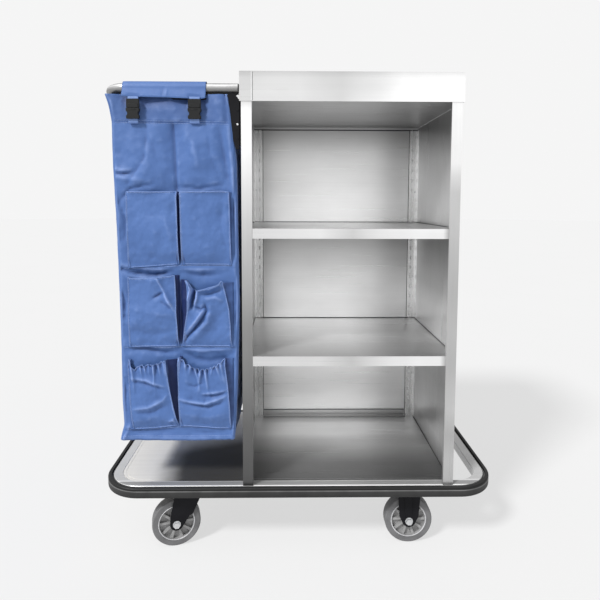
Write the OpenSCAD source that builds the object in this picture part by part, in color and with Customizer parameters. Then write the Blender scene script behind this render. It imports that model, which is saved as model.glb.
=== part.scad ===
// Housekeeping cart: steel shelf cabinet and a fabric bag on a tube base with four casters.
// Millimetres. +X runs from the bag to the open end, +Y to the back, +Z up.
// The origin is on the floor under the middle of the bumper.

/* [Part] */
// Piece to show

/* [Base] */
// Length of the base tube ring
base_length = 1000; // [980:5:1040]
// Width of the base tube ring
base_width = 470; // [470:5:500]
// Height of the deck above the floor
deck_height = 180; // [180:1:190]
// Outer corner radius of the ring
corner_radius = 88; // [70:1:100]
// Side of the square base tube
tube_side = 25; // [25:1:25]
// How far the bumper stands out
bumper_depth = 14; // [10:1:18]

/* [Cabinet] */
// Overall height of the cart
total_height = 1220; // [1180:5:1260]
// Width of the cabinet
cabinet_width = 540; // [520:5:545]
// Left face of the cabinet along X
cabinet_left = -145; // [-145:1:-140]
// Depth of the cabinet
cabinet_depth = 440; // [430:1:440]
// Height of the top pan's apron
apron_height = 71; // [60:1:80]
// Top face of the upper shelf
upper_shelf_height = 840; // [780:5:880]
// Top face of the lower shelf
lower_shelf_height = 518; // [470:5:560]
// Height of a shelf's front flange
shelf_lip = 25; // [20:1:30]
// Thickness of the sheet steel
sheet = 1.2; // [1:0.1:1.2]

/* [Bag] */
// Diameter of the bag tube
bag_tube_diameter = 25; // [25:1:25]
// Height of the bag tube's centre line
bag_tube_height = 1182; // [1182:1:1184]
// Underside of the bag
bag_bottom_height = 300; // [280:5:320]
// Gap between a pocket and the bag
pocket_gap = 12.3; // [8:0.1:12.3]

/* [Casters] */
// Diameter of a wheel
wheel_diameter = 125; // [120:1:125]
// Width of a tyre
tyre_width = 32; // [28:1:34]
// Distance of a kingpin from the middle of the cart along X
kingpin_x = 291; // [285:1:300]
// Trail of the two swivel casters
caster_trail = 37; // [25:1:38]
// Turn of the two swivel casters as shown
swivel_turn = 15; // [-180:1:180]

/* [Hidden] */
$fn = 64;

steel = [0.80, 0.81, 0.82];
dull_steel = [0.62, 0.63, 0.64];
black = [0.12, 0.12, 0.13];
rubber_grey = [0.30, 0.31, 0.32];
cloth = [0.36, 0.49, 0.76];
dark_cloth = [0.25, 0.36, 0.62];
wheel_grey = [0.55, 0.56, 0.57];

half_length = base_length / 2;
front = -base_width / 2;
ring_bottom = deck_height - tube_side;
ring_wall = 1.5;
tube_edge = 2.5;
seam_inset = 7;
rail_top = deck_height - 1.7;
rail_wall = 2;
caster_rail_width = 80;
bumper_gap = 0.3;
bumper_low = ring_bottom - 1;
bumper_high = deck_height + 1;

cabinet_right = cabinet_left + cabinet_width;
cabinet_back = front + cabinet_depth;
apron_low = total_height - apron_height;
return_width = 26;
lip_depth = 10;
pilaster_top = apron_low - 6;
slot_pitch = 32;
overhang = 4;

tube_radius = bag_tube_diameter / 2;
leg_y = 215;
tube_left = -492;
bend_radius = 60;
leg_end = cabinet_left - overhang - 4.5;
pivot_x = cabinet_left - 7.5;
pivot_z = bag_tube_height - tube_radius - 9.5;
strut_pin_z = pivot_z - 62;
strut_reach = 72;
strut_length = sqrt(strut_reach * strut_reach + 62 * 62);
strut_angle = atan2(62, -strut_reach);
arm_length = 170;
slot_start = 66;
slot_end = 163;

bag_top = bag_tube_height - 16;
bag_y = 230;
cloth_thick = 2;
bag_left_edge = [
    [-472, bag_top], [-461, 1103], [-460, 995], [-456, 860],
    [-453, 736], [-451, 585], [-452, 353], [-458, bag_bottom_height]
];
bag_right_edge = [
    [-166, bag_bottom_height], [-162, 352], [-156, 482], [-151, 660],
    [-154, 787], [-156, 996], [-165, 1092], [-174, bag_top]
];
right_side_edge = [
    [-166, bag_bottom_height], [-162, 352], [-156, 482], [-151, 660], [-154, 787], [-157, 1040]
];
right_side_top = [[-157, 1039], [-158.5, 1060], [-165, 1105], [-171, 1148]];
notch_y = 197;
pocket_left = [-426, -300];
pocket_right = [-295, -177];
pocket_wall = 1.5;
flap_x = [-419, -231];
flap_inner = tube_radius + 0.4;
buckle_x = [-404, -256];
buckle_z = 1130;
plug_top = buckle_z + 22;

kingpin_y = 182;
wheel_radius = wheel_diameter / 2;
core_radius = 48;
plate_thick = 3.5;
plate_low = ring_bottom - plate_thick;
head_high = plate_low - 6.3;
head_low = head_high - 8;
leg_gap = 18.7;
leg_thick = 3;
pin_radius = 5;
pin_clear = 0.06;

function reversed(a) = [for (i = [len(a) - 1 : -1 : 0]) a[i]];
function inset(a, d) = [for (p = a) [p[0] + d, p[1]]];

// A box from one corner to the other.
module block(x, y, z) {
    translate([x[0], y[0], z[0]])
        cube([x[1] - x[0], y[1] - y[0], z[1] - z[0]]);
}

// A slab with round vertical corners, centred on X and Y.
module round_slab(l, w, r, z) {
    block([r - l / 2, l / 2 - r], [-w / 2, w / 2], z);
    block([-l / 2, l / 2], [r - w / 2, w / 2 - r], z);
    for (x = [r - l / 2, l / 2 - r])
        for (y = [r - w / 2, w / 2 - r])
            translate([x, y, z[0]])
                cylinder(r = r, h = z[1] - z[0]);
}

// A cylinder along Y.
module pin(x, y, z, r, sides = 48) {
    translate([x, y[0], z])
        rotate([-90, 0, 0])
            cylinder(r = r, h = y[1] - y[0], $fn = sides);
}

// A flat outline in X and Z, made solid from y[0] to y[1].
module upright(points, y) {
    translate([0, y[1], 0])
        rotate([90, 0, 0])
            linear_extrude(y[1] - y[0])
                polygon(points);
}

// Sweeps a profile round the ring. Its X is outward and its Y is up.
module around(r) {
    spans = [base_length, base_width, base_length, base_width];
    for (k = [0 : 3])
        rotate([0, 0, 90 * k])
            translate([r - spans[k] / 2, 0, 0])
                rotate([90, 0, 90])
                    linear_extrude(spans[k] - 2 * r)
                        translate([spans[(k + 1) % 4] / 2, 0])
                            children();
    for (k = [0 : 3])
        rotate([0, 0, 90 * k])
            translate([spans[k] / 2 - r, spans[(k + 1) % 4] / 2 - r, 0])
                rotate_extrude(angle = 90, $fn = 96)
                    translate([r, 0])
                        children();
}

// A square with round corners. Its outer edge is at x = 0.
module soft_square(x, y, r) {
    translate([x[0] + r, y[0]])
        square([x[1] - x[0] - 2 * r, y[1] - y[0]]);
    translate([x[0], y[0] + r])
        square([x[1] - x[0], y[1] - y[0] - 2 * r]);
    for (u = [x[0] + r, x[1] - r])
        for (v = [y[0] + r, y[1] - r])
            translate([u, v])
                circle(r = r, $fn = 32);
}

// The base tube, one square tube bent into a ring.
module base_frame() {
    color(steel)
        around(corner_radius)
            difference() {
                soft_square([-tube_side, 0], [ring_bottom, deck_height], tube_edge);
                soft_square(
                    [ring_wall - tube_side, -ring_wall],
                    [ring_bottom + ring_wall, deck_height - ring_wall], 1
                );
            }
}

// A cross tube from the front rail to the back rail.
module cross_tube(x, width) {
    reach = base_width / 2 - tube_side;
    difference() {
        block([x - width / 2, x + width / 2], [-reach, reach], [ring_bottom, rail_top]);
        block(
            [x - width / 2 + rail_wall, x + width / 2 - rail_wall], [-reach - 1, reach + 1],
            [ring_bottom + rail_wall, rail_top - rail_wall]
        );
    }
}

// Where the four casters stand.
module at_casters() {
    for (x = [-kingpin_x, kingpin_x])
        for (y = [-kingpin_y, kingpin_y])
            translate([x, y, 0])
                children();
}

// Where a caster's four bolts go.
module at_bolts() {
    for (x = [-30, 30])
        for (y = [-22, 22])
            translate([x, y, 0])
                children();
}

module cross_rails() {
    color(dull_steel)
        difference() {
            union() {
                cross_tube(-kingpin_x, caster_rail_width);
                cross_tube(cabinet_left + 12.5, 25);
                cross_tube((cabinet_left + cabinet_right) / 2, 25);
                cross_tube(kingpin_x, caster_rail_width);
                cross_tube(cabinet_right - 12.5, 25);
            }
            at_casters()
                at_bolts()
                    translate([0, 0, ring_bottom - 1])
                        cylinder(r = 4.15, h = 5, $fn = 32);
        }
}

// The outline of the deck sheet, drawn in from the ring by an even margin.
module deck_shape(inset, z) {
    x0 = tube_side + inset - half_length;
    y0 = base_width / 2 - tube_side - inset;
    r = corner_radius - tube_side - inset;
    block([x0 + r, cabinet_left - 0.2], [-y0, y0], z);
    block([x0, cabinet_left - 0.2], [r - y0, y0 - r], z);
    for (y = [r - y0, y0 - r])
        translate([x0 + r, y, z[0]])
            cylinder(r = r, h = z[1] - z[0], $fn = 96);
}

module bag_deck() {
    color(steel)
        difference() {
            deck_shape(0.2, [rail_top, deck_height]);
            difference() {
                deck_shape(seam_inset, [deck_height - 0.6, deck_height + 1]);
                deck_shape(seam_inset + 1.2, [deck_height - 1, deck_height + 2]);
            }
        }
}

module cabinet_floor() {
    y0 = base_width / 2 - tube_side - 0.2;
    y1 = seam_inset - base_width / 2 + tube_side;
    color(steel)
        difference() {
            block([cabinet_left, cabinet_right], [-y0, y0], [rail_top, deck_height]);
            block(
                [cabinet_left + 1.5, cabinet_right - 1.5], [y1, y1 + 1.2],
                [deck_height - 0.6, deck_height + 1]
            );
        }
}

// The bumper strip: a flat back, a groove next to the tube and a rounded nose.
module bumper() {
    color(rubber_grey)
        around(corner_radius)
            difference() {
                union() {
                    translate([bumper_gap, bumper_low])
                        square([bumper_depth / 2, bumper_high - bumper_low]);
                    soft_square(
                        [bumper_gap + 1, bumper_gap + bumper_depth],
                        [bumper_low, bumper_high], 4.5
                    );
                }
                translate([bumper_gap - 1, bumper_high - 8])
                    square([5.5, 9]);
            }
}

// One cabinet side with its front return, the lip behind it and a rear flange.
// It is drawn with its outer face at x = 0 and the cabinet on its +X side.
module side_panel() {
    z = [deck_height, apron_low];
    block([0, sheet], [front, cabinet_back], z);
    block([0, return_width], [front, front + sheet], z);
    block([return_width - sheet, return_width], [front, front + lip_depth], z);
    block([0, 15], [cabinet_back - sheet, cabinet_back], z);
}

module left_panel() {
    color(steel)
        translate([cabinet_left, 0, 0])
            side_panel();
}

module right_panel() {
    color(steel)
        translate([cabinet_right, 0, 0])
            mirror([1, 0, 0])
                side_panel();
}

module back_panel() {
    gap = sheet + 0.2;
    color(steel)
        block(
            [cabinet_left + gap, cabinet_right - gap],
            [cabinet_back - 2 * sheet - 0.2, cabinet_back - sheet - 0.2],
            [deck_height, apron_low]
        );
}

// The angle along the foot of the back panel.
module back_rail() {
    back = cabinet_back - 2 * sheet - 0.2;
    x = [cabinet_left + 30, cabinet_right - 30];
    color(steel) {
        block(x, [back - sheet, back], [deck_height, deck_height + 20]);
        block(x, [back - 16, back], [deck_height, deck_height + sheet]);
    }
}

// Room for the two wall channels and the arms that swing in them.
module bracket_notches() {
    for (y = [-leg_y, leg_y])
        block(
            [cabinet_left - overhang - 1, cabinet_left + 0.1], [y - 13.4, y + 13.4],
            [apron_low - 1, pivot_z + 7.8]
        );
}

module top_pan() {
    x = [cabinet_left - overhang, cabinet_right + overhang];
    y = [front - 2, cabinet_back + 2];
    wall = 1.5;
    color(steel)
        difference() {
            block(x, y, [apron_low, total_height]);
            block(
                [x[0] + wall, x[1] - wall], [y[0] + wall, y[1] - wall],
                [apron_low - 1, total_height - wall]
            );
            bracket_notches();
        }
}

module ceiling_panel() {
    gap = overhang - 1.7;
    color(steel)
        difference() {
            block(
                [cabinet_left - gap, cabinet_right + gap], [front - 0.3, cabinet_back + 0.3],
                [apron_low, apron_low + sheet]
            );
            bracket_notches();
        }
}

// A pan shelf: it fills the space between the returns and widens behind their lips.
module shelf(top) {
    x0 = cabinet_left + return_width + 0.5;
    x1 = cabinet_right - return_width - 0.5;
    w0 = cabinet_left + 2 * sheet + 0.4;
    w1 = cabinet_right - 2 * sheet - 0.4;
    y0 = front + 0.4;
    y1 = front + lip_depth + 0.6;
    y2 = cabinet_back - 3 * sheet - 0.6;
    low = top - shelf_lip;
    side_low = top - 20;
    block([x0, x1], [y0, y1 + 1], [top - sheet, top]);
    block([x0, x1], [y0, y0 + sheet], [low, top]);
    block([x0, x1], [y0, y1], [low, low + sheet]);
    block([w0, w1], [y1, y2], [top - sheet, top]);
    block([w0, w0 + sheet], [y1, y2], [side_low, top]);
    block([w1 - sheet, w1], [y1, y2], [side_low, top]);
    block([w0, w1], [y2 - sheet, y2], [side_low, top]);
}

module upper_shelf() {
    color(steel)
        shelf(upper_shelf_height);
}

module lower_shelf() {
    color(steel)
        shelf(lower_shelf_height);
}

// A rear corner angle with a row of slots in each leg.
module rear_pilaster() {
    back = cabinet_back - 2 * sheet - 0.2;
    x = sheet + 0.1;
    difference() {
        union() {
            block([x, x + 27], [back - sheet, back], [deck_height, pilaster_top]);
            block([x, x + sheet], [back - 20, back], [deck_height, pilaster_top]);
        }
        for (z = [deck_height + 24 : slot_pitch : pilaster_top - 50]) {
            block([x + 14, x + 19], [back - 3, back + 1], [z, z + 12]);
            block([x - 1, x + 3], [back - 12, back - 7], [z, z + 12]);
        }
    }
}

module rear_pilasters() {
    color(steel) {
        translate([cabinet_left, 0, 0])
            rear_pilaster();
        translate([cabinet_right, 0, 0])
            mirror([1, 0, 0])
                rear_pilaster();
    }
}

// A slotted strip on the cabinet side behind the front return.
module front_pilaster() {
    x = sheet + 0.1;
    y = front + lip_depth + 4;
    difference() {
        block([x, x + sheet], [y, y + 18], [deck_height, pilaster_top]);
        for (z = [deck_height + 24 : slot_pitch : pilaster_top - 50])
            block([x - 1, x + 3], [y + 6.5, y + 11.5], [z, z + 12]);
    }
}

module front_pilasters() {
    color(steel) {
        translate([cabinet_left, 0, 0])
            front_pilaster();
        translate([cabinet_right, 0, 0])
            mirror([1, 0, 0])
                front_pilaster();
    }
}

// An angle clip that carries a shelf's side flange.
module shelf_clip(top) {
    x = 2 * sheet + 0.15;
    z = top - 20.1;
    block([x, x + 14], [-6, 6], [z - 1.5, z]);
    block([x, x + 1.5], [-6, 6], [z - 16, z]);
}

module clip_set(top) {
    for (y = [front + lip_depth + 13, cabinet_back - 12.5])
        translate([0, y, 0])
            shelf_clip(top);
}

module shelf_clips() {
    color(dull_steel)
        for (top = [upper_shelf_height, lower_shelf_height]) {
            translate([cabinet_left, 0, 0])
                clip_set(top);
            translate([cabinet_right, 0, 0])
                mirror([1, 0, 0])
                    clip_set(top);
        }
}

// The screw heads down the two rear corner angles.
module cabinet_screws() {
    face = cabinet_back - 3 * sheet - 0.2;
    color(dull_steel) {
        for (z = [1134, 946, 681, 548, 205])
            pin(cabinet_left + 8.5, [face - 1.2, face], z, 3, 24);
        for (z = [1117, 940, 661, 327, 193])
            pin(cabinet_right - 8.5, [face - 1.2, face], z, 3, 24);
    }
}

// A folding bracket's wall channel, drawn about the middle of a tube leg.
module wall_channel() {
    x = [cabinet_left - 15, cabinet_left - 0.2];
    z = [pivot_z - 115, pivot_z + 5];
    difference() {
        union() {
            block([x[1] - 2, x[1]], [-9, 9], z);
            block(x, [-9, -7.2], z);
            block(x, [7.2, 9], z);
        }
        pin(pivot_x, [-10, 10], pivot_z, 3);
        pin(pivot_x, [-10, 10], strut_pin_z, 2.5);
    }
}

module channel_front() {
    color(black)
        translate([0, -leg_y, 0])
            wall_channel();
}

module channel_rear() {
    color(black)
        translate([0, leg_y, 0])
            wall_channel();
}

module fold_pins() {
    color(dull_steel)
        for (y = [-leg_y, leg_y])
            translate([0, y, 0]) {
                pin(pivot_x, [-12.4, 12.4], pivot_z, 3);
                pin(pivot_x, [-12.4, -11.3], pivot_z, 5);
                pin(pivot_x, [11.3, 12.4], pivot_z, 5);
                pin(pivot_x, [-9, 9], strut_pin_z, 2.5);
            }
}

// A folding bracket's arm: two slotted side plates under a thin saddle for the tube.
module bracket_arm() {
    slot_x = [pivot_x - slot_end, pivot_x - slot_start];
    difference() {
        union() {
            for (y = [[-11.1, -9.3], [9.3, 11.1]]) {
                block([pivot_x - arm_length, pivot_x], y, [pivot_z - 6.8, pivot_z + 9.3]);
                pin(pivot_x, y, pivot_z, 6.8);
            }
            block(
                [pivot_x - arm_length, pivot_x - 20], [-9.3, 9.3],
                [pivot_z + 8.1, pivot_z + 9.3]
            );
        }
        pin(pivot_x, [-12, 12], pivot_z, 3.06);
        block(slot_x, [-12, 12], [pivot_z - 3.2, pivot_z + 3.2]);
        for (x = slot_x)
            pin(x, [-12, 12], pivot_z, 3.2);
    }
}

module arm_front() {
    color(black)
        translate([0, -leg_y, 0])
            bracket_arm();
}

module arm_rear() {
    color(black)
        translate([0, leg_y, 0])
            bracket_arm();
}

// A folding bracket's strut: two flat bars with a spacer and a guide pin at the top end.
module bracket_strut() {
    translate([pivot_x, 0, strut_pin_z])
        rotate([0, -strut_angle, 0])
            difference() {
                union() {
                    for (y = [[-6.4, -4.6], [4.6, 6.4]]) {
                        block([0, strut_length], y, [-5, 5]);
                        pin(0, y, 0, 5);
                        pin(strut_length, y, 0, 5);
                    }
                    pin(strut_length, [-8.8, 8.8], 0, 2.9);
                    pin(strut_length / 2, [-5, 5], 0, 3);
                }
                pin(0, [-8, 8], 0, 2.56);
            }
}

module strut_front() {
    color(black)
        translate([0, -leg_y, 0])
            bracket_strut();
}

module strut_rear() {
    color(black)
        translate([0, leg_y, 0])
            bracket_strut();
}

// The bag tube's path: two legs, two bends and the end across the cart.
module tube_path(r, x1) {
    x0 = tube_left + tube_radius;
    xb = x0 + bend_radius;
    yb = leg_y - bend_radius;
    for (y = [-leg_y, leg_y])
        translate([xb, y, bag_tube_height])
            rotate([0, 90, 0])
                cylinder(r = r, h = x1 - xb);
    translate([x0, -yb, bag_tube_height])
        rotate([-90, 0, 0])
            cylinder(r = r, h = 2 * yb);
    translate([xb, yb, bag_tube_height])
        rotate([0, 0, 90])
            rotate_extrude(angle = 90)
                translate([bend_radius, 0])
                    circle(r = r);
    translate([xb, -yb, bag_tube_height])
        rotate([0, 0, 180])
            rotate_extrude(angle = 90)
                translate([bend_radius, 0])
                    circle(r = r);
}

module bag_tube() {
    color(steel)
        difference() {
            tube_path(tube_radius, leg_end);
            tube_path(tube_radius - 1.5, leg_end + 1);
        }
}

module tube_plugs() {
    color(black)
        for (y = [-leg_y, leg_y])
            translate([leg_end, y, bag_tube_height])
                rotate([0, 90, 0]) {
                    cylinder(r = tube_radius - 0.5, h = 1.5);
                    translate([0, 0, -15])
                        cylinder(r = tube_radius - 1.6, h = 15);
                }
}

module bag_front() {
    color(cloth)
        upright(concat(bag_left_edge, bag_right_edge), [-bag_y - cloth_thick, -bag_y]);
}

module bag_rear() {
    color(cloth)
        upright(concat(bag_left_edge, bag_right_edge), [bag_y, bag_y + cloth_thick]);
}

module bag_left() {
    color(cloth)
        upright(
            concat(bag_left_edge, reversed(inset(bag_left_edge, cloth_thick))),
            [0.2 - bag_y, bag_y - 0.2]
        );
}

// The right side is notched at both upper corners to clear the folding brackets.
module bag_right() {
    color(cloth) {
        upright(
            concat(right_side_edge, reversed(inset(right_side_edge, -cloth_thick))),
            [0.2 - bag_y, bag_y - 0.2]
        );
        upright(
            concat(right_side_top, reversed(inset(right_side_top, -cloth_thick))),
            [-notch_y, notch_y]
        );
    }
}

module bag_bottom() {
    color(cloth)
        block(
            [-455.4, -168.2], [0.2 - bag_y, bag_y - 0.2],
            [bag_bottom_height, bag_bottom_height + cloth_thick]
        );
}

// A flat open-topped pocket: a front, two sides and a bottom.
module pocket(x, z) {
    back = -bag_y - cloth_thick - 0.2;
    face = back - pocket_gap;
    difference() {
        block(x, [face - pocket_wall, back], z);
        block(
            [x[0] + pocket_wall, x[1] - pocket_wall], [face, back + 1],
            [z[0] + pocket_wall, z[1] + 1]
        );
    }
}

module pocket_pair(z) {
    pocket(pocket_left, z);
    pocket(pocket_right, z);
}

module pockets_top() {
    color(dark_cloth)
        pocket_pair([752, 929]);
}

module pockets_middle() {
    color(dark_cloth)
        pocket_pair([547, 717]);
}

module pockets_bottom() {
    color(dark_cloth)
        pocket_pair([332, 508]);
}

// The part of a flap that hooks over a tube leg. The outside is towards -X.
module flap_hook() {
    difference() {
        circle(r = flap_inner + cloth_thick);
        circle(r = flap_inner);
        translate([-30, -30])
            square([60, 30]);
    }
    translate([flap_inner, -8])
        square([cloth_thick, 8.1]);
}

// The part of a flap that hangs down outside the bag.
module flap_skirt() {
    out = flap_inner + cloth_thick;
    polygon([
        [-out, 0.1], [-flap_inner, 0.1], [-flap_inner - 4.9, -10], [-flap_inner - 4.9, -24],
        [-out - 4.9, -24], [-out - 4.9, -10]
    ]);
}

// A flap over a tube leg along X at the origin.
module flap() {
    translate([flap_x[0], 0, 0])
        rotate([90, 0, 90])
            linear_extrude(flap_x[1] - flap_x[0])
                flap_hook();
    translate([flap_x[0], 0, 0])
        rotate([90, 0, 90])
            linear_extrude(flap_x[1] - flap_x[0])
                flap_skirt();
}

module flap_front() {
    color(cloth)
        translate([0, -leg_y, bag_tube_height])
            flap();
}

module flap_rear() {
    color(cloth)
        translate([0, leg_y, bag_tube_height])
            mirror([0, 1, 0])
                flap();
}

// The webbing tabs that tie the buckle sockets to the bag.
module strap_tabs() {
    color(cloth)
        for (x = buckle_x)
            block([x - 12.5, x + 12.5], [-234.7, -232.3], [buckle_z - 38, buckle_z - 14]);
}

// A side-release buckle's socket, open at the top and at both sides.
module socket() {
    difference() {
        block([-15, 15], [-244.6, -235], [buckle_z - 26, buckle_z]);
        block([-12, 12], [-242.8, -236.8], [buckle_z - 22, buckle_z + 1]);
        block([-16, 16], [-242.8, -236.8], [buckle_z - 20, buckle_z - 9]);
    }
}

module buckle_sockets() {
    color(black)
        for (x = buckle_x)
            translate([x, 0, 0])
                socket();
}

// A buckle plug: a strap bar, a shoulder and three prongs.
module plug() {
    difference() {
        block([-14, 14], [-243.8, -235.8], [buckle_z + 0.4, plug_top]);
        block([-11, 11], [-245, -235], [plug_top - 8, plug_top - 4]);
    }
    for (x = [[-11.5, -7], [-2, 2], [7, 11.5]])
        block(x, [-242.2, -237.4], [buckle_z - 19, buckle_z + 1]);
}

module buckle_plug_1() {
    color(black)
        translate([buckle_x[0], 0, 0])
            plug();
}

module buckle_plug_2() {
    color(black)
        translate([buckle_x[1], 0, 0])
            plug();
}

// A caster's top plate. The two on the left also carry a raceway, a kingpin and its nut.
module caster_plate() {
    difference() {
        round_slab(90, 64, 8, [plate_low, ring_bottom]);
        at_bolts()
            translate([0, 0, plate_low - 1])
                cylinder(r = 4.15, h = plate_thick + 2, $fn = 32);
    }
}

module swivel_head() {
    translate([0, 0, head_high + 0.3])
        cylinder(r = 24, h = plate_low - head_high - 0.3);
    translate([0, 0, head_low - 5])
        cylinder(r = 6, h = plate_low - head_low + 5, $fn = 48);
    translate([0, 0, head_low - 6.5])
        cylinder(r = 9, h = 6.2, $fn = 6);
}

module caster_plates() {
    color(dull_steel) {
        at_casters()
            caster_plate();
        for (y = [-kingpin_y, kingpin_y])
            translate([-kingpin_x, y, 0])
                swivel_head();
    }
}

module caster_bolts() {
    color(dull_steel)
        at_casters()
            at_bolts() {
                translate([0, 0, plate_low - 5.3])
                    cylinder(r = 7, h = 5.2, $fn = 6);
                translate([0, 0, plate_low - 1])
                    cylinder(r = 4, h = 15, $fn = 32);
            }
}

// Two fork legs from one outline in X and Z, with a round end and a hole at the axle.
module fork_legs(outline, trail, round_end) {
    for (y = [[-leg_gap - leg_thick, -leg_gap], [leg_gap, leg_gap + leg_thick]])
        difference() {
            union() {
                upright(outline, y);
                pin(-trail, y, wheel_radius, round_end);
            }
            pin(-trail, [y[0] - 1, y[1] + 1], wheel_radius, pin_radius);
        }
}

module swivel_fork() {
    side = leg_gap + leg_thick;
    z = wheel_radius;
    t = caster_trail;
    difference() {
        union() {
            translate([0, 0, head_low])
                cylinder(r = 26, h = head_high - head_low);
            block([-42, 29], [-side, side], [head_low, head_low + leg_thick]);
        }
        translate([0, 0, head_low - 1])
            cylinder(r = 6 + pin_clear, h = 20, $fn = 48);
    }
    fork_legs([
        [-42, head_low + 0.5], [-t - 16.5, z + 18], [-t - 17, z], [-t + 14, z - 9.5],
        [-t + 33, z + 19], [-t + 41, z + 22], [29, head_low + 0.5]
    ], t, 17);
}

module rigid_fork() {
    side = leg_gap + leg_thick;
    high = plate_low - 6;
    z = wheel_radius;
    block([-30, 30], [-side, side], [high - leg_thick, high]);
    block([-24, 24], [-16, 16], [high - 0.5, plate_low]);
    fork_legs([
        [-30, high - 0.5], [-25, z + 12], [-15, z - 9], [15, z - 9], [25, z + 12], [30, high - 0.5]
    ], 0, 17);
    for (x = [-13, 10])
        for (y = [[-side - 1, -side + 0.5], [side - 0.5, side + 1]])
            block([x, x + 3], y, [z + 14, high - 2]);
}

// The axle bolt with its head towards the camera side and its nut at the back.
module axle() {
    side = leg_gap + leg_thick;
    pin(0, [-side - 1, side + 9], wheel_radius, pin_radius);
    pin(0, [-side - 1.6, -side - 0.1], wheel_radius, 10);
    pin(0, [-side - 7.2, -side - 1.5], wheel_radius, 8.6, 6);
    pin(0, [side + 0.1, side + 1.6], wheel_radius, 10);
    pin(0, [side + 1.5, side + 8], wheel_radius, 8.6, 6);
}

// The ribbed wheel core: hub, web, rim ring and tapered ribs.
module wheel_core() {
    rim = core_radius - 3.5;
    translate([0, 0, wheel_radius])
        rotate([90, 0, 0])
            difference() {
                union() {
                    cylinder(r = 13, h = 2 * leg_gap - 0.6, center = true);
                    cylinder(r = core_radius - 2, h = 8, center = true);
                    difference() {
                        cylinder(r = core_radius, h = 29, center = true, $fn = 96);
                        cylinder(r = rim, h = 30, center = true, $fn = 96);
                    }
                    for (k = [0 : 9])
                        rotate([0, 0, 36 * k])
                            translate([0, 0, -11])
                                linear_extrude(22)
                                    polygon([[10, -1.8], [rim + 0.5, -3.6], [rim + 0.5, 3.6], [10, 1.8]]);
                }
                cylinder(r = pin_radius + pin_clear, h = 60, center = true);
            }
}

module tyre() {
    soft = 4;
    half = tyre_width / 2;
    translate([0, 0, wheel_radius])
        rotate([90, 0, 0])
            rotate_extrude($fn = 96) {
                translate([core_radius, -half])
                    square([wheel_radius - core_radius - soft, tyre_width]);
                translate([core_radius, soft - half])
                    square([wheel_radius - core_radius, tyre_width - 2 * soft]);
                for (y = [soft - half, half - soft])
                    translate([wheel_radius - soft, y])
                        circle(r = soft, $fn = 32);
            }
}

// Puts a swivel caster's piece under its kingpin, turned as shown.
module swivelled(y) {
    translate([-kingpin_x, y, 0])
        rotate([0, 0, swivel_turn])
            children();
}

module swivelled_wheel(y) {
    swivelled(y)
        translate([-caster_trail, 0, 0])
            children();
}

module fork_fl() {
    color(black)
        swivelled(-kingpin_y)
            swivel_fork();
}

module fork_rl() {
    color(black)
        swivelled(kingpin_y)
            swivel_fork();
}

module fork_fr() {
    color(black)
        translate([kingpin_x, -kingpin_y, 0])
            rigid_fork();
}

module fork_rr() {
    color(black)
        translate([kingpin_x, kingpin_y, 0])
            rigid_fork();
}

module axle_fl() {
    color(dull_steel)
        swivelled_wheel(-kingpin_y)
            axle();
}

module axle_rl() {
    color(dull_steel)
        swivelled_wheel(kingpin_y)
            axle();
}

module axle_fr() {
    color(dull_steel)
        translate([kingpin_x, -kingpin_y, 0])
            axle();
}

module axle_rr() {
    color(dull_steel)
        translate([kingpin_x, kingpin_y, 0])
            axle();
}

module core_fl() {
    color(wheel_grey)
        swivelled_wheel(-kingpin_y)
            wheel_core();
}

module core_rl() {
    color(wheel_grey)
        swivelled_wheel(kingpin_y)
            wheel_core();
}

module core_fr() {
    color(wheel_grey)
        translate([kingpin_x, -kingpin_y, 0])
            wheel_core();
}

module core_rr() {
    color(wheel_grey)
        translate([kingpin_x, kingpin_y, 0])
            wheel_core();
}

module tyre_fl() {
    color(rubber_grey)
        swivelled_wheel(-kingpin_y)
            tyre();
}

module tyre_rl() {
    color(rubber_grey)
        swivelled_wheel(kingpin_y)
            tyre();
}

module tyre_fr() {
    color(rubber_grey)
        translate([kingpin_x, -kingpin_y, 0])
            tyre();
}

module tyre_rr() {
    color(rubber_grey)
        translate([kingpin_x, kingpin_y, 0])
            tyre();
}

base_frame();
cross_rails();
bag_deck();
cabinet_floor();
bumper();
left_panel();
right_panel();
back_panel();
back_rail();
top_pan();
ceiling_panel();
upper_shelf();
lower_shelf();
rear_pilasters();
front_pilasters();
shelf_clips();
cabinet_screws();
channel_front();
channel_rear();
fold_pins();
bag_tube();
tube_plugs();
arm_front();
arm_rear();
strut_front();
strut_rear();
bag_front();
bag_rear();
bag_left();
bag_right();
bag_bottom();
pockets_top();
pockets_middle();
pockets_bottom();
flap_front();
flap_rear();
strap_tabs();
buckle_sockets();
buckle_plug_1();
buckle_plug_2();
caster_plates();
caster_bolts();
fork_fl();
fork_rl();
fork_fr();
fork_rr();
axle_fl();
axle_rl();
axle_fr();
axle_rr();
core_fl();
core_rl();
core_fr();
core_rr();
tyre_fl();
tyre_rl();
tyre_fr();
tyre_rr();
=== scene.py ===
import math

import bmesh
import bpy
import numpy as np
from mathutils import Matrix, Vector, noise

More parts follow.
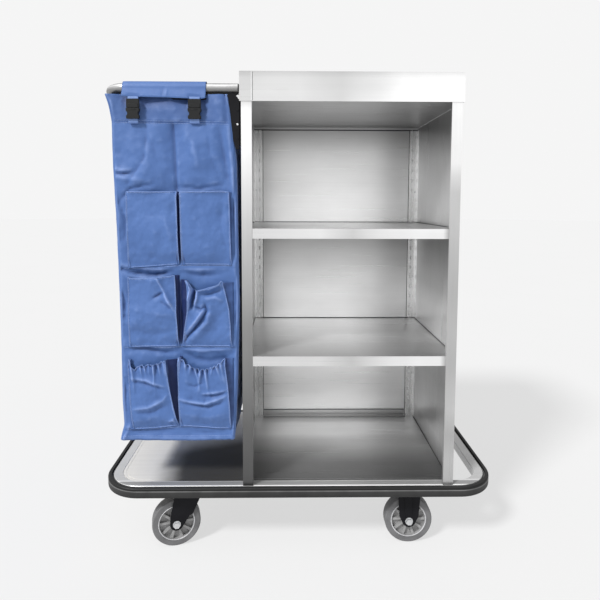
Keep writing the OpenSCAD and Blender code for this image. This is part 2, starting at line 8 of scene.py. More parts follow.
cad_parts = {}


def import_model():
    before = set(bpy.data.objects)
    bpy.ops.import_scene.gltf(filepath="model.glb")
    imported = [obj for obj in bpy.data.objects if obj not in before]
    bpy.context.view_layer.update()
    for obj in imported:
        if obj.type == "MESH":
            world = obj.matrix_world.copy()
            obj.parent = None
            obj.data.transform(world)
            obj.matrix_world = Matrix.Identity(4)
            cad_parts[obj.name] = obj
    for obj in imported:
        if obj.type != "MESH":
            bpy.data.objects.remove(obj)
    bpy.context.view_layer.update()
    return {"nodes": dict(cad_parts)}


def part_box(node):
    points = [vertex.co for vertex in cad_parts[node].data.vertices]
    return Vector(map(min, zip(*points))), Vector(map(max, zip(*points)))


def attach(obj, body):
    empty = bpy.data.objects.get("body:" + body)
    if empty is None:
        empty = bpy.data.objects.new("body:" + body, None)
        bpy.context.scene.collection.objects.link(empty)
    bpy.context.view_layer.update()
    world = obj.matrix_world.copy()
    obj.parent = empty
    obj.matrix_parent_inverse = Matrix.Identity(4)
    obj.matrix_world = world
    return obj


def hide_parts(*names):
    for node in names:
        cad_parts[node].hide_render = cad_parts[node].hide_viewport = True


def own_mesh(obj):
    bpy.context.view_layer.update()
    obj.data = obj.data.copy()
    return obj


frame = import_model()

scene = bpy.context.scene
MM = 0.001


# ---------------------------------------------------------------- materials
class Nodes:
    """A small helper for building a node tree."""

    def __init__(self, tree):
        self.nodes, self.links = tree.nodes, tree.links

    def add(self, kind, inputs=None, **settings):
        n = self.nodes.new(kind)
        for key, value in settings.items():
            setattr(n, key, value)
        for key, value in (inputs or {}).items():
            if isinstance(value, bpy.types.NodeSocket):
                self.links.new(value, n.inputs[key])
            else:
                n.inputs[key].default_value = value
        return n

    def math(self, op, a, b=0.0, c=0.0):
        return self.add("ShaderNodeMath", {0: a, 1: b, 2: c}, operation=op).outputs[0]

    def span(self, value, low, high, to_low=0.0, to_high=1.0, smooth=False):
        """Where a value lies between low and high, given as a number between two others."""
        ends = {"From Min": low, "From Max": high, "To Min": to_low, "To Max": to_high}
        kind = "SMOOTHSTEP" if smooth else "LINEAR"
        node = self.add("ShaderNodeMapRange", {"Value": value, **ends}, interpolation_type=kind)
        return node.outputs["Result"]


class Tree(Nodes):
    """A material, with the nodes that most of the cart's materials use."""

    def __init__(self, name):
        self.mat = bpy.data.materials.new(name)
        self.mat.use_nodes = True
        super().__init__(self.mat.node_tree)
        self.bsdf = self.nodes["Principled BSDF"]
        coord = self.add("ShaderNodeTexCoord").outputs
        self.place, self.normal = coord["Object"], coord["Normal"]

    def set(self, **values):
        for key, value in values.items():
            self.bsdf.inputs[key.replace("_", " ")].default_value = value

    def link(self, socket, name):
        self.links.new(socket, self.bsdf.inputs[name])

    def noise(self, scale, detail=4.0, rough=0.5, vector=None):
        values = {"Vector": vector or self.place, "Scale": scale}
        values.update({"Detail": detail, "Roughness": rough})
        return self.add("ShaderNodeTexNoise", values).outputs["Fac"]

    def streaks(self, grain, along, across, *detail):
        """Noise drawn out along one axis."""
        scale = [along if axis == grain else across for axis in "XYZ"]
        drawn = self.add("ShaderNodeMapping", {"Vector": self.place, "Scale": scale})
        return self.noise(1.0, *detail, vector=drawn.outputs["Vector"])

    def ramp(self, fac, stops):
        """A grey tone from (position, grey) stops."""
        n = self.add("ShaderNodeValToRGB", {"Fac": fac})
        elements = n.color_ramp.elements
        for i, (at, v) in enumerate(stops):
            e = elements[i] if i < 2 else elements.new(at)
            e.position, e.color = at, grey(v)
        return n.outputs["Color"]

    def axis(self, which):
        if not hasattr(self, "split"):
            self.split = self.add("ShaderNodeSeparateXYZ", {"Vector": self.place})
        return self.split.outputs[which]

    def mix(self, fac, a, b, blend="MIX"):
        values = {0: fac, 6: a, 7: b}
        return self.add("ShaderNodeMix", values, data_type="RGBA", blend_type=blend).outputs[2]

    def times(self, a, b):
        return self.mix(1.0, a, b, "MULTIPLY")

    def bump(self, height, strength, distance, below=None):
        inputs = {"Height": height, "Strength": strength, "Distance": distance}
        if below is not None:
            inputs["Normal"] = below
        out = self.add("ShaderNodeBump", inputs).outputs["Normal"]
        self.link(out, "Normal")
        return out


def grey(v):
    return (v, v, v, 1)


def steel(
    name, front, side=None, top=None, grain="Z", metallic=0.75, rough=0.3,
    cross=None, spread=None, outside=None,
):
    """Brushed stainless sheet, with painted shade and painted reflections in its colour. front,
    side and top are (axis, stops) for the faces that look along Y, X and Z; a stop is a place in
    metres and the painted tone of light and shade there. cross is one more such ramp that
    multiplies the front's, and spread one that multiplies the top's. outside is (axis, sign,
    ramp) for the faces that look out of the cabinet."""
    t = Tree(name)

    def tone(ramp, times=None):
        axis, stops = ramp
        low, high = stops[0][0], stops[-1][0]
        scaled = [((place - low) / (high - low), v) for place, v in stops]
        out = t.ramp(t.span(t.axis(axis), low, high), scaled)
        return t.times(out, tone(times)) if times else out

    facing = t.add("ShaderNodeSeparateXYZ", {"Vector": t.normal}).outputs
    out = tone(front, cross)
    if side:
        share = t.math("ABSOLUTE", facing["X"])
        out = t.mix(t.span(share, 0.5, 0.8), out, tone(side))
    if top:
        share = t.math("ABSOLUTE", facing["Z"])
        out = t.mix(t.span(share, 0.5, 0.8), out, tone(top, spread))
    if outside:
        way, sign, ramp = outside
        share = t.math("MULTIPLY", facing[way], sign)
        out = t.mix(t.span(share, 0.5, 0.8), out, tone(ramp))
    line = t.streaks(grain, 2, 260, 3.0, 0.6)
    for fac, drift in (
        (line, 0.018), (t.streaks(grain, 3, 9, 3.0), 0.05), (t.noise(5.0, 3.0), 0.05)
    ):
        out = t.times(out, t.mix(t.span(fac, 0.3, 0.7), grey(1 - drift), grey(1 + drift)))
    t.link(out, "Base Color")
    t.link(t.span(line, 0.25, 0.75, rough - 0.04, rough + 0.05), "Roughness")
    t.bump(line, 0.03, 0.0002)
    t.set(Metallic=metallic)
    return t.mat


def coated(
    name, colour, other, rough, cloud=14.0, detail=3.0, drift=(0.35, 0.75),
    grain=900.0, bump=0.15, depth=0.0004, **settings,
):
    """A surface whose colour drifts to another in soft clouds, over a fine grain. rough is its
    least and most roughness. Without a grain, the clouds themselves are its bumps."""
    t = Tree(name)
    patches = t.noise(cloud, detail)
    t.link(t.mix(t.span(patches, *drift), (*colour, 1), (*other, 1)), "Base Color")
    t.link(t.span(patches, 0.3, 0.7, *rough), "Roughness")
    t.bump(t.noise(grain, 2.0) if grain else patches, bump, depth)
    t.set(**settings)
    return t.mat


def painted(name, colour, rough, bump=0.15, gloss=0.5):
    """A painted or moulded surface with a fine orange peel."""
    lighter = [v * 1.5 + 0.004 for v in colour]
    span = (rough - 0.05, rough + 0.08)
    return coated(name, colour, lighter, span, bump=bump, Specular_IOR_Level=gloss)


def plated(name, colour, rough):
    """Bright zinc or polished steel."""
    darker = [v * 0.82 for v in colour]
    span = (rough - 0.06, rough + 0.1)
    return coated(
        name, darker, colour, span, 60.0, 4.0, (0.3, 0.7), None, 0.08, 0.0003, Metallic=1.0
    )


def fabric(name, colour, shade, weave=1500.0):
    """Coated woven cloth: a fine plain weave, soft mottling and a slight sheen. Two attributes of
    the mesh carry painted light: one darkens the cloth with painted shade in its folds, hollows
    and gaps, and the other pales it with a painted highlight where it stands proud."""
    t = Tree(name)
    threads = {"Vector": t.place, "Scale": weave / 6.0, "Distortion": 0.6, "Detail": 1.0}
    warp, weft = (
        t.add("ShaderNodeTexWave", threads, wave_type="BANDS", bands_direction=way).outputs["Fac"]
        for way in "ZX"
    )
    cross = t.math("MULTIPLY", warp, weft)
    fold, painted_highlight = (
        t.add("ShaderNodeAttribute", attribute_name=what).outputs["Fac"]
        for what in ("fold", "painted_highlight")
    )
    base = t.mix(t.span(t.noise(9.0, 4.0, 0.55), 0.3, 0.7), (*shade, 1), (*colour, 1))
    base = t.times(base, t.mix(t.span(cross, 0.0, 1.0), grey(0.9), grey(1.06)))
    # Painted shade from the first attribute, and a painted highlight from the second.
    base = t.times(base, t.mix(fold, grey(1.0), (0.09, 0.13, 0.26, 1)))
    base = t.mix(painted_highlight, base, (0.21, 0.31, 0.6, 1))
    t.link(base, "Base Color")
    t.link(t.span(t.noise(260.0, 2.0), 0.3, 0.7, 0.5, 0.64), "Roughness")
    low = t.bump(t.noise(30.0, 2.0, 0.5), 0.14, 0.003)
    t.bump(cross, 0.25, 0.0003, low)
    t.set(Sheen_Weight=0.12, Sheen_Roughness=0.4, Specular_IOR_Level=0.35)
    t.set(Sheen_Tint=(0.7, 0.8, 1.0, 1))
    return t.mat


def polished(name):
    """A polished round tube, with a painted reflection in its colour by which way each face
    looks: the bright studio above it, and the darker floor line below.
    """
    t = Tree(name)
    facing = t.add("ShaderNodeSeparateXYZ", {"Vector": t.normal})
    cloud = t.noise(40.0, 3.0)
    level = t.math("ADD", facing.outputs["Z"], t.span(cloud, 0.3, 0.7, -0.05, 0.05))
    # Painted reflection, by which way each face looks.
    tone = t.ramp(
        t.span(level, -1.0, 1.0),
        [(0.0, 0.08), (0.2, 0.2), (0.5, 0.33), (0.66, 0.45), (0.74, 0.74), (0.84, 0.62),
         (0.91, 0.3), (1.0, 0.16)],
    )
    t.link(tone, "Base Color")
    t.link(t.span(cloud, 0.3, 0.7, 0.24, 0.34), "Roughness")
    t.bump(cloud, 0.03, 0.0003)
    t.set(Metallic=0.55)
    return t.mat


def deck_steel(name):
    """The open deck, with painted reflections in its colour: bright at its outer end, and the
    dark bag mirrored in its middle. Its front edge is a darker strip, and a painted warm tint
    offsets the blue light that the bag throws on it.
    """
    t = Tree(name)
    shift = t.span(t.noise(7.0, 3.0), 0.3, 0.7, -0.012, 0.012)
    x = t.math("ADD", t.axis("X"), shift)
    y = t.math("ADD", t.axis("Y"), shift)
    # Painted reflection: lighter towards the outer end, darker where the bag is mirrored.
    left = t.span(x, -0.405, -0.3, 0.0, 1.0, smooth=True)
    slant = t.math("MULTIPLY_ADD", x, -0.35, y)
    back = t.span(slant, 0.04, 0.14, 1.0, 0.0, smooth=True)
    tone = t.mix(t.math("MULTIPLY", left, back), grey(0.76), grey(0.045))
    # A darker strip along the front edge, and a painted warm tint against the blue light from the
    # bag.
    near = t.span(t.axis("Y"), -0.2175, -0.2125, 1.0, 0.0)
    tone = t.times(t.mix(near, tone, grey(0.42)), (1.0, 0.975, 0.93, 1))
    line = t.streaks("X", 2, 260, 3.0, 0.6)
    drift = t.mix(t.span(line, 0.3, 0.7), grey(0.95), grey(1.05))
    t.link(t.times(tone, drift), "Base Color")
    t.link(t.span(line, 0.25, 0.75, 0.42, 0.52), "Roughness")
    t.bump(line, 0.03, 0.0002)
    t.set(Metallic=0.2)
    return t.mat


def bumper_rubber(name):
    """The bumper: matt black with a dusty mottle. Up its height, the face darkens towards its
    foot, the lip under its top takes a painted highlight, and the moulded groove above it a
    painted shadow.
    """
    t = Tree(name)
    cloud = t.noise(30.0, 5.0)
    # By height: the face darkens to its foot, then a painted highlight on the lip and a painted
    # shadow in the groove above it.
    low = t.ramp(
        t.span(t.axis("Z"), 0.154, 0.181),
        [(0.0, 0.016), (0.5, 0.028), (0.63, 0.034), (0.67, 0.13), (0.73, 0.13), (0.77, 0.005),
         (0.93, 0.005), (1.0, 0.02)],
    )
    dusty = t.mix(t.span(cloud, 0.3, 0.75), grey(0.8), grey(1.3))
    t.link(t.times(low, dusty), "Base Color")
    t.link(t.span(cloud, 0.3, 0.7, 0.45, 0.62), "Roughness")
    t.bump(t.noise(700.0, 2.0), 0.2, 0.0003)
    t.set(Specular_IOR_Level=0.28)
    return t.mat


# Painted shade on the back panel: darker towards the top of the two upper bays, under the shelf and
# top above them.
BAY_PAINTED_SHADE = (
    "Z",
    [(0.18, 0.9), (0.3, 1.0), (0.515, 1.0), (0.6, 0.96), (0.67, 0.78), (0.71, 0.64), (0.78, 0.46),
     (0.835, 0.46), (0.845, 1.0), (0.9, 0.92), (0.97, 0.78), (1.03, 0.72), (1.13, 0.5)],
)
# Faces that look out of the cabinet: a little darker towards the bottom.
OUTER = ("Z", [(0.18, 0.55), (0.5, 0.64), (0.9, 0.7), (1.15, 0.66)])
# Every steel ramp below is painted light: the shade and reflections that each sheet shows, set in
# its colour by place and by which way it faces.
M = {
    "apron": steel(
        "steel_top_pan",
        ("X", [(-0.149, 0.59), (-0.12, 0.59), (-0.114, 0.63), (0.0, 0.66), (0.1, 0.6),
               (0.19, 0.72), (0.25, 0.86), (0.399, 0.88)]),
        side=("Z", [(1.15, 0.6), (1.22, 0.7)]),
        top=("Y", [(-0.24, 0.7), (0.21, 0.7)]),
        cross=("Z", [(1.149, 1.0), (1.205, 0.95), (1.22, 0.76)]),
        grain="X",
    ),
    "left": steel(
        "steel_left_side",
        ("Z", [(0.18, 0.09), (0.34, 0.133), (0.6, 0.29), (0.85, 0.55), (1.03, 0.8), (1.13, 0.8),
               (1.15, 0.6)]),
        side=("Z", [(0.18, 0.3), (0.6, 0.45), (1.15, 0.6)]),
        outside=("X", -1.0, OUTER),
    ),
    "right": steel(
        "steel_right_side",
        ("Z", [(0.18, 0.47), (0.25, 0.5), (0.31, 0.43), (0.38, 0.54), (0.51, 0.47), (0.7, 0.45),
               (0.83, 0.5), (0.93, 0.5), (0.97, 0.6), (1.0, 0.75), (1.15, 0.8)]),
        side=("Z", [(0.18, 0.34), (0.24, 0.68), (0.31, 0.52), (0.4, 0.33), (0.485, 0.36),
                    (0.525, 1.0), (0.6, 0.76), (0.66, 0.46), (0.78, 0.27), (0.835, 0.27),
                    (0.85, 0.62), (0.95, 0.58), (1.03, 0.5), (1.06, 0.42), (1.13, 0.24)]),
        outside=("X", 1.0, OUTER),
    ),
    "back": steel(
        "steel_back", BAY_PAINTED_SHADE,
        cross=("X", [(-0.14, 0.82), (-0.08, 0.97), (0.1, 1.0), (0.25, 1.0), (0.39, 0.98)]),
        outside=("Y", 1.0, OUTER), grain="X",
    ),
    "ceiling": steel(
        "steel_ceiling", ("Y", [(-0.235, 0.4), (0.2, 0.25)]),
        top=("Y", [(-0.235, 0.58), (0.05, 0.48), (0.205, 0.28)]),
        spread=("X", [(-0.14, 0.8), (0.0, 1.0), (0.2, 1.0), (0.39, 0.75)]),
        grain="X",
    ),
    "shelf": steel(
        "steel_shelf",
        ("X", [(-0.12, 0.64), (0.05, 0.72), (0.13, 0.56), (0.2, 0.72), (0.3, 0.85), (0.355, 0.84),
               (0.366, 0.5)]),
        top=("Y", [(-0.235, 0.54), (-0.1, 0.72), (0.05, 0.95), (0.2, 1.0)]),
        cross=("Z", [(0.5, 0.98), (0.8, 1.0)]),
        spread=("X", [(-0.14, 0.8), (0.0, 1.0), (0.15, 1.0), (0.3, 0.6), (0.39, 0.5)]),
        grain="X",
    ),
    "floor": steel(
        "steel_cabinet_floor", ("Z", [(0.17, 0.5), (0.18, 0.5)]),
        top=("Y", [(-0.219, 0.4), (-0.212, 0.18), (-0.12, 0.24), (-0.05, 0.42), (0.02, 0.72),
                   (0.06, 1.0), (0.14, 1.0), (0.2, 0.7)]),
        spread=("X", [(-0.14, 0.68), (0.0, 1.0), (0.2, 1.0), (0.39, 0.7)]),
        grain="X",
    ),
    "deck": deck_steel("steel_deck"),
    # The frame tube: its top has painted highlights along both rounded edges, with painted shade
    # between them.
    "ring": steel(
        "steel_ring",
        ("X", [(-0.5, 0.5), (-0.43, 0.64), (-0.38, 0.44), (-0.28, 0.34), (-0.08, 0.3), (0.03, 0.5),
               (0.25, 0.52), (0.39, 0.44), (0.44, 0.25), (0.5, 0.3)]),
        side=("Z", [(0.15, 0.5), (0.18, 0.5)]),
        top=("Y", [(-0.2355, 0.95), (-0.2325, 0.95), (-0.23, 0.36), (-0.214, 0.36),
                   (-0.2115, 0.9), (-0.205, 0.6), (0.235, 0.8)]),
        grain="X", metallic=0.4,
    ),
    "pilaster": steel(
        "steel_pilaster", ("Z", [(0.18, 0.8), (0.6, 1.0), (1.0, 0.9), (1.15, 0.6)]), rough=0.26
    ),
    "foot": steel("steel_foot_rail", ("X", [(-0.14, 0.5), (0.1, 0.62), (0.39, 0.45)]), grain="X"),
    "tube": polished("polished_tube"),
    "zinc": plated("zinc_plate", (0.72, 0.73, 0.74), 0.28),
    # Dark strips as a painted shadow in the cabinet's joints, and bright strips as a painted
    # highlight along its folded edges.
    "seam": painted("painted_gap_shadow", (0.02, 0.02, 0.022), 0.5),
    "edge_highlight": plated("painted_edge_highlight", (0.95, 0.95, 0.95), 0.3),
    "black_metal": painted("black_coat", (0.003, 0.003, 0.0045), 0.55, gloss=0.15),
    "black_plastic": painted("black_moulding", (0.004, 0.0045, 0.005), 0.5, gloss=0.25),
    "bumper": bumper_rubber("bumper_rubber"),
    "core": coated(
        "wheel_core", (0.27, 0.27, 0.27), (0.33, 0.33, 0.33), (0.42, 0.55), 40.0, 4.0,
        bump=0.1, depth=0.0003,
    ),
    "tyre": coated(
        "tyre_rubber", (0.11, 0.11, 0.113), (0.177, 0.177, 0.1815), (0.56, 0.74), 30.0, 5.0,
        (0.35, 0.8), 700.0, 0.2, 0.0003,
    ),
    "rim": painted("wheel_rim", (0.4, 0.4, 0.41), 0.5, bump=0.1),
    "cloth": fabric("bag_cloth", (0.08, 0.163, 0.405), (0.064, 0.136, 0.35)),
    # Lighter than the cloth: the binding's own colour, and in part a painted highlight.
    "piping": fabric("bag_piping", (0.2, 0.3, 0.6), (0.16, 0.26, 0.54), 3200.0),
    "webbing": fabric("bag_webbing", (0.16, 0.26, 0.54), (0.13, 0.22, 0.48), 3200.0),
    "thread": fabric("bag_thread", (0.42, 0.53, 0.82), (0.34, 0.46, 0.76), 6000.0),
}
# Which material each carried-over CAD node takes.
NODES = {
    "ring": "base_frame cross_rails",
    "deck": "bag_deck",
    "floor": "cabinet_floor",
    "bumper": "bumper",
    "left": "left_panel",
    "right": "right_panel",
    "back": "back_panel",
    "foot": "back_rail",
    "apron": "top_pan",
    "ceiling": "ceiling_panel",
    "shelf": "upper_shelf lower_shelf",
    "pilaster": "rear_pilasters front_pilasters",
    "zinc": (
        "shelf_clips cabinet_screws fold_pins caster_plates caster_bolts axle_fl axle_rl "
        "axle_fr axle_rr"
    ),
    "black_metal": (
        "channel_front channel_rear arm_front arm_rear strut_front strut_rear fork_fl "
        "fork_rl fork_fr fork_rr"
    ),
    "tube": "bag_tube",
    "black_plastic": "tube_plugs buckle_sockets buckle_plug_1 buckle_plug_2",
    "cloth": (
        "bag_front bag_rear bag_left bag_right bag_bottom pockets_top pockets_middle "
        "pockets_bottom flap_front flap_rear strap_tabs"
    ),
    "core": "core_fl core_rl core_fr core_rr",
    "tyre": "tyre_fl tyre_rl tyre_fr tyre_rr",
}
for key, names in NODES.items():
    for node in names.split():
        mesh = frame["nodes"][node].data
        mesh.materials.clear()
        mesh.materials.append(M[key])


# ---------------------------------------------------------------- cloth helpers
def lin(points):
    """A straight-line function through (at, value) pairs."""
    a = np.array(sorted(points), float)
    return lambda t: np.interp(t, a[:, 0], a[:, 1])


def smooth(points):
    """A softened function through (at, value) pairs."""
    a = np.array(sorted(points), float)
    fine = np.linspace(a[0, 0], a[-1, 0], 400)
    raw = np.interp(fine, a[:, 0], a[:, 1])
    width = max(3, int(400 / (len(a) * 2.2)) | 1)
    kernel = np.hanning(width + 2)[1:-1]
    kernel /= kernel.sum()
    padded = np.pad(raw, width // 2, mode="reflect", reflect_type="odd")
    soft = np.convolve(padded, kernel, mode="valid")
    return lambda t: np.interp(t, fine, soft)


def cloud(x, z, size, seed):
    """Smooth noise of about -1 to 1 over two arrays in millimetres."""
    x, z = np.broadcast_arrays(np.asarray(x, float), np.asarray(z, float))
    at = zip(x.ravel() / size, z.ravel() / size)
    flat = [noise.fractal((a, seed * 7.31, b), 1.0, 2.0, 3) for a, b in at]
    return np.array(flat).reshape(x.shape)


def bell(off, width, power=2):
    """1 where off is 0, falling to nothing about a width away."""
    return np.exp(-(np.abs(off / width) ** power))


def rise(off, width):
    """From 0 to 1 as off passes 0, within about a width."""
    return 0.5 * (1 + np.tanh(off / (2 * width)))


def ramp(value, start, length):
    """From 0 at start to 1 a length later. A negative length runs the other way."""
    return np.clip((value - start) / length, 0, 1)


FOLD_GAIN = 2.1


def crease(x, z, path, width, height, sharp=1.0, side=0.0):
    """A fold along a path of (x, z) points. side moves more of it to one flank."""
    best = np.full(np.shape(x), 1e9)
    sign = np.zeros(np.shape(x))
    fade = np.zeros(np.shape(x))
    lengths = [math.dist(a, b) for a, b in zip(path, path[1:])]
    total, gone = sum(lengths), 0.0
    for (a, b), long in zip(zip(path, path[1:]), lengths):
        d = ((b[0] - a[0]) / long, (b[1] - a[1]) / long)
        raw = (x - a[0]) * d[0] + (z - a[1]) * d[1]
        along = np.clip(raw, 0, long)
        off = np.hypot(x - a[0] - along * d[0], z - a[1] - along * d[1])
        turn = (x - a[0]) * d[1] - (z - a[1]) * d[0]
        near = off < best
        best = np.where(near, off, best)
        sign = np.where(near, np.sign(turn), sign)
        share = (gone + along) / total
        fade = np.where(near, np.sin(np.pi * np.clip(0.04 + 0.92 * share, 0, 1)) ** 0.6, fade)
        gone += long
    w = width * (1 + side * sign)
    return FOLD_GAIN * height * fade * bell(best, w, sharp)


def folds(x, z, table):
    """The sum of a table of creases. Each row is a path, a width, a height, and perhaps how
    sharp it is and how far it leans."""
    return sum(crease(x, z, *row) for row in table)


def placed(me, material, body):
    """A mesh as a visible piece on its body."""
    ob = bpy.data.objects.new(me.name, me)
    scene.collection.objects.link(ob)
    me.materials.append(material)
    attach(ob, body)
    return ob


def from_bmesh(bm, name):
    me = bpy.data.meshes.new(name)
    bm.to_mesh(me)
    bm.free()
    return me


def mesh_of(name, points, faces, material, body="chassis"):
    me = bpy.data.meshes.new(name)
    me.from_pydata([tuple(p) for p in points], [], faces)
    me.validate()
    me.update()
    me.polygons.foreach_set("use_smooth", [True] * len(me.polygons))
    return placed(me, material, body)


def hollows(grid, closed):
    """How far each point of a sheet lies behind the cloth around it, in millimetres."""
    y = grid[:, :, 1]
    around = y
    for axis in (0, 1):
        step = np.median(np.linalg.norm(np.diff(grid, axis=axis), axis=2))
        n = max(1, int(round(8.0 / max(step, 0.5))))
        rim = [(n, n) if k == axis else (0, 0) for k in (0, 1)]
        wide = np.pad(around, rim, mode="wrap" if closed and axis == 0 else "edge")
        span = y.shape[axis]
        around = sum(np.take(wide, range(k, k + span), axis) for k in range(2 * n + 1))
        around = around / (2 * n + 1)
    return (around - y) * np.sign(y)


def cloth(
    name, grid, thick, material, closed=False, keep=None, offset=-1.0, body="chassis", fold=0.0
):
    """A sheet from a grid of points in millimetres, given its thickness behind its face. closed
    joins its last column to its first, and keep says which of its squares stay. fold is the
    painted shade each point takes, from 0 to 1; the sheet's hollows take more painted shade, and
    what stands proud takes a painted highlight."""
    nu, nv = grid.shape[:2]
    faces = [
        (i * nv + j, k * nv + j, k * nv + j + 1, i * nv + j + 1)
        for i, k in zip(range(nu), [*range(1, nu), 0] if closed else range(1, nu))
        for j in range(nv - 1)
        if keep is None or keep(i, j)
    ]
    used, faces = np.unique(faces, return_inverse=True)
    points = (grid.reshape(-1, 3) * MM)[used]
    ob = mesh_of(name, points, faces.reshape(-1, 4).tolist(), material, body)
    # Painted shade in the hollows, and a painted highlight where the sheet stands proud of the
    # cloth around it.
    behind = hollows(grid, closed)
    fold = fold + np.clip(0.2 * (behind - 0.25), 0, 0.55)
    for what, value in (("fold", fold), ("painted_highlight", 0.3 * (-behind - 0.35))):
        share = ob.data.attributes.new(what, "FLOAT", "POINT")
        share.data.foreach_set("value", np.clip(value.reshape(-1)[used], 0, 1).astype(np.float32))
    m = ob.modifiers.new("thick", "SOLIDIFY")
    m.thickness, m.offset = thick * MM, offset
    m.use_even_offset = False
    return ob


# ---------------------------------------------------------------- the bag
LEFT = smooth(
    [(300, -457.8), (318, -454), (340, -447.5), (372, -449.5), (410, -451), (470, -450.5),
     (585, -450.8), (736, -453), (860, -455.5), (995, -460.6), (1040, -461), (1103, -461),
     (1140, -467.5), (1166, -476)]
)
RIGHT = smooth(
    [(300, -166.5), (352, -162.5), (482, -156.5), (570, -154), (660, -151.6), (787, -154),
     (900, -155.5), (996, -157), (1050, -161), (1092, -165.5), (1130, -169.5), (1166, -176)]
)
FRONT_Y, BACK_Y, TOP_Z, LOW_Z = -231.4, 231.4, 1166.0, 300.0
SIDE_TOP, NOTCH_Z, NOTCH_Y = 1148.0, 1040.0, 197.0
BUCKLES = (-404.0, -256.0)
SEAM_Z = smooth([(-475, 1100.5), (-400, 1099), (-312, 1098), (-240, 1097), (-160, 1096)])


FRONT_FOLDS = (
    ([(-461, 988), (-440, 982), (-415, 984)], 5, 2.6, 1.3),
    ([(-461, 978), (-436, 973), (-408, 978)], 4, -2.4, 1.3),
    ([(-461, 968), (-430, 962), (-380, 958)], 7, 1.6, 1.5),
    ([(-400, 1085), (-360, 1040), (-345, 985)], 12, -1.8, 1.5),
    ([(-285, 1085), (-262, 1045), (-250, 985)], 14, 2.2, 1.6),
    ([(-200, 1088), (-190, 1030), (-180, 960)], 9, -2.6, 1.4),
    ([(-178, 1080), (-168, 1000), (-162, 900)], 7, 2.0, 1.4),
    ([(-455, 742), (-415, 728), (-372, 722), (-330, 727)], 6, -3.4, 1.2, -0.3),
    ([(-452, 752), (-400, 742), (-345, 740), (-303, 748)], 7, 2.2, 1.4),
    ([(-300, 745), (-262, 738), (-215, 742), (-168, 748)], 9, 1.8, 1.6),
    ([(-297, 733), (-250, 724), (-200, 726)], 7, -2.2, 1.4),
    ([(-302, 533), (-340, 528), (-395, 537), (-446, 533)], 7, -3.0, 1.3),
    ([(-302, 542), (-350, 541), (-410, 546)], 5, 1.8, 1.4),
    ([(-300, 535), (-262, 512), (-228, 505), (-190, 513), (-160, 530)], 10, -3.2, 1.5),
    ([(-300, 540), (-240, 533), (-170, 540)], 6, 2.0, 1.4),
    ([(-452, 330), (-400, 322), (-310, 327)], 6, -2.2, 1.3),
    ([(-300, 327), (-240, 321), (-170, 325)], 6, -1.6, 1.4),
    ([(-457, 300), (-440, 318), (-430, 345)], 6, 2.6, 1.2),
)
SOFT_FOLDS = (
    ([(-446, 905), (-432, 860), (-436, 800)], 5.5, -2.2, 1.2, 0.25),
    ([(-452, 700), (-438, 655), (-440, 600)], 5.5, -2.4, 1.2, 0.25),
    ([(-452, 900), (-420, 938), (-360, 950)], 5.5, -2.0, 1.2, 0.25),
    ([(-300, 945), (-250, 938), (-185, 950)], 5.5, -2.0, 1.2, 0.25),
    ([(-160, 930), (-166, 860), (-160, 800)], 5.5, -2.2, 1.2, 0.25),
    ([(-158, 700), (-163, 640), (-157, 560)], 5.5, -2.2, 1.2, 0.25),
    ([(-455, 480), (-441, 430), (-446, 370)], 5.5, -2.2, 1.2, 0.25),
    ([(-375, 1085), (-382, 1010), (-430, 940)], 5.5, -1.6, 1.2, 0.25),
    ([(-225, 1085), (-222, 1020), (-190, 940)], 5.5, -0.9, 1.2, 0.25),
    ([(-420, 738), (-360, 725), (-318, 735)], 5.5, -1.8, 1.2, 0.25),
)


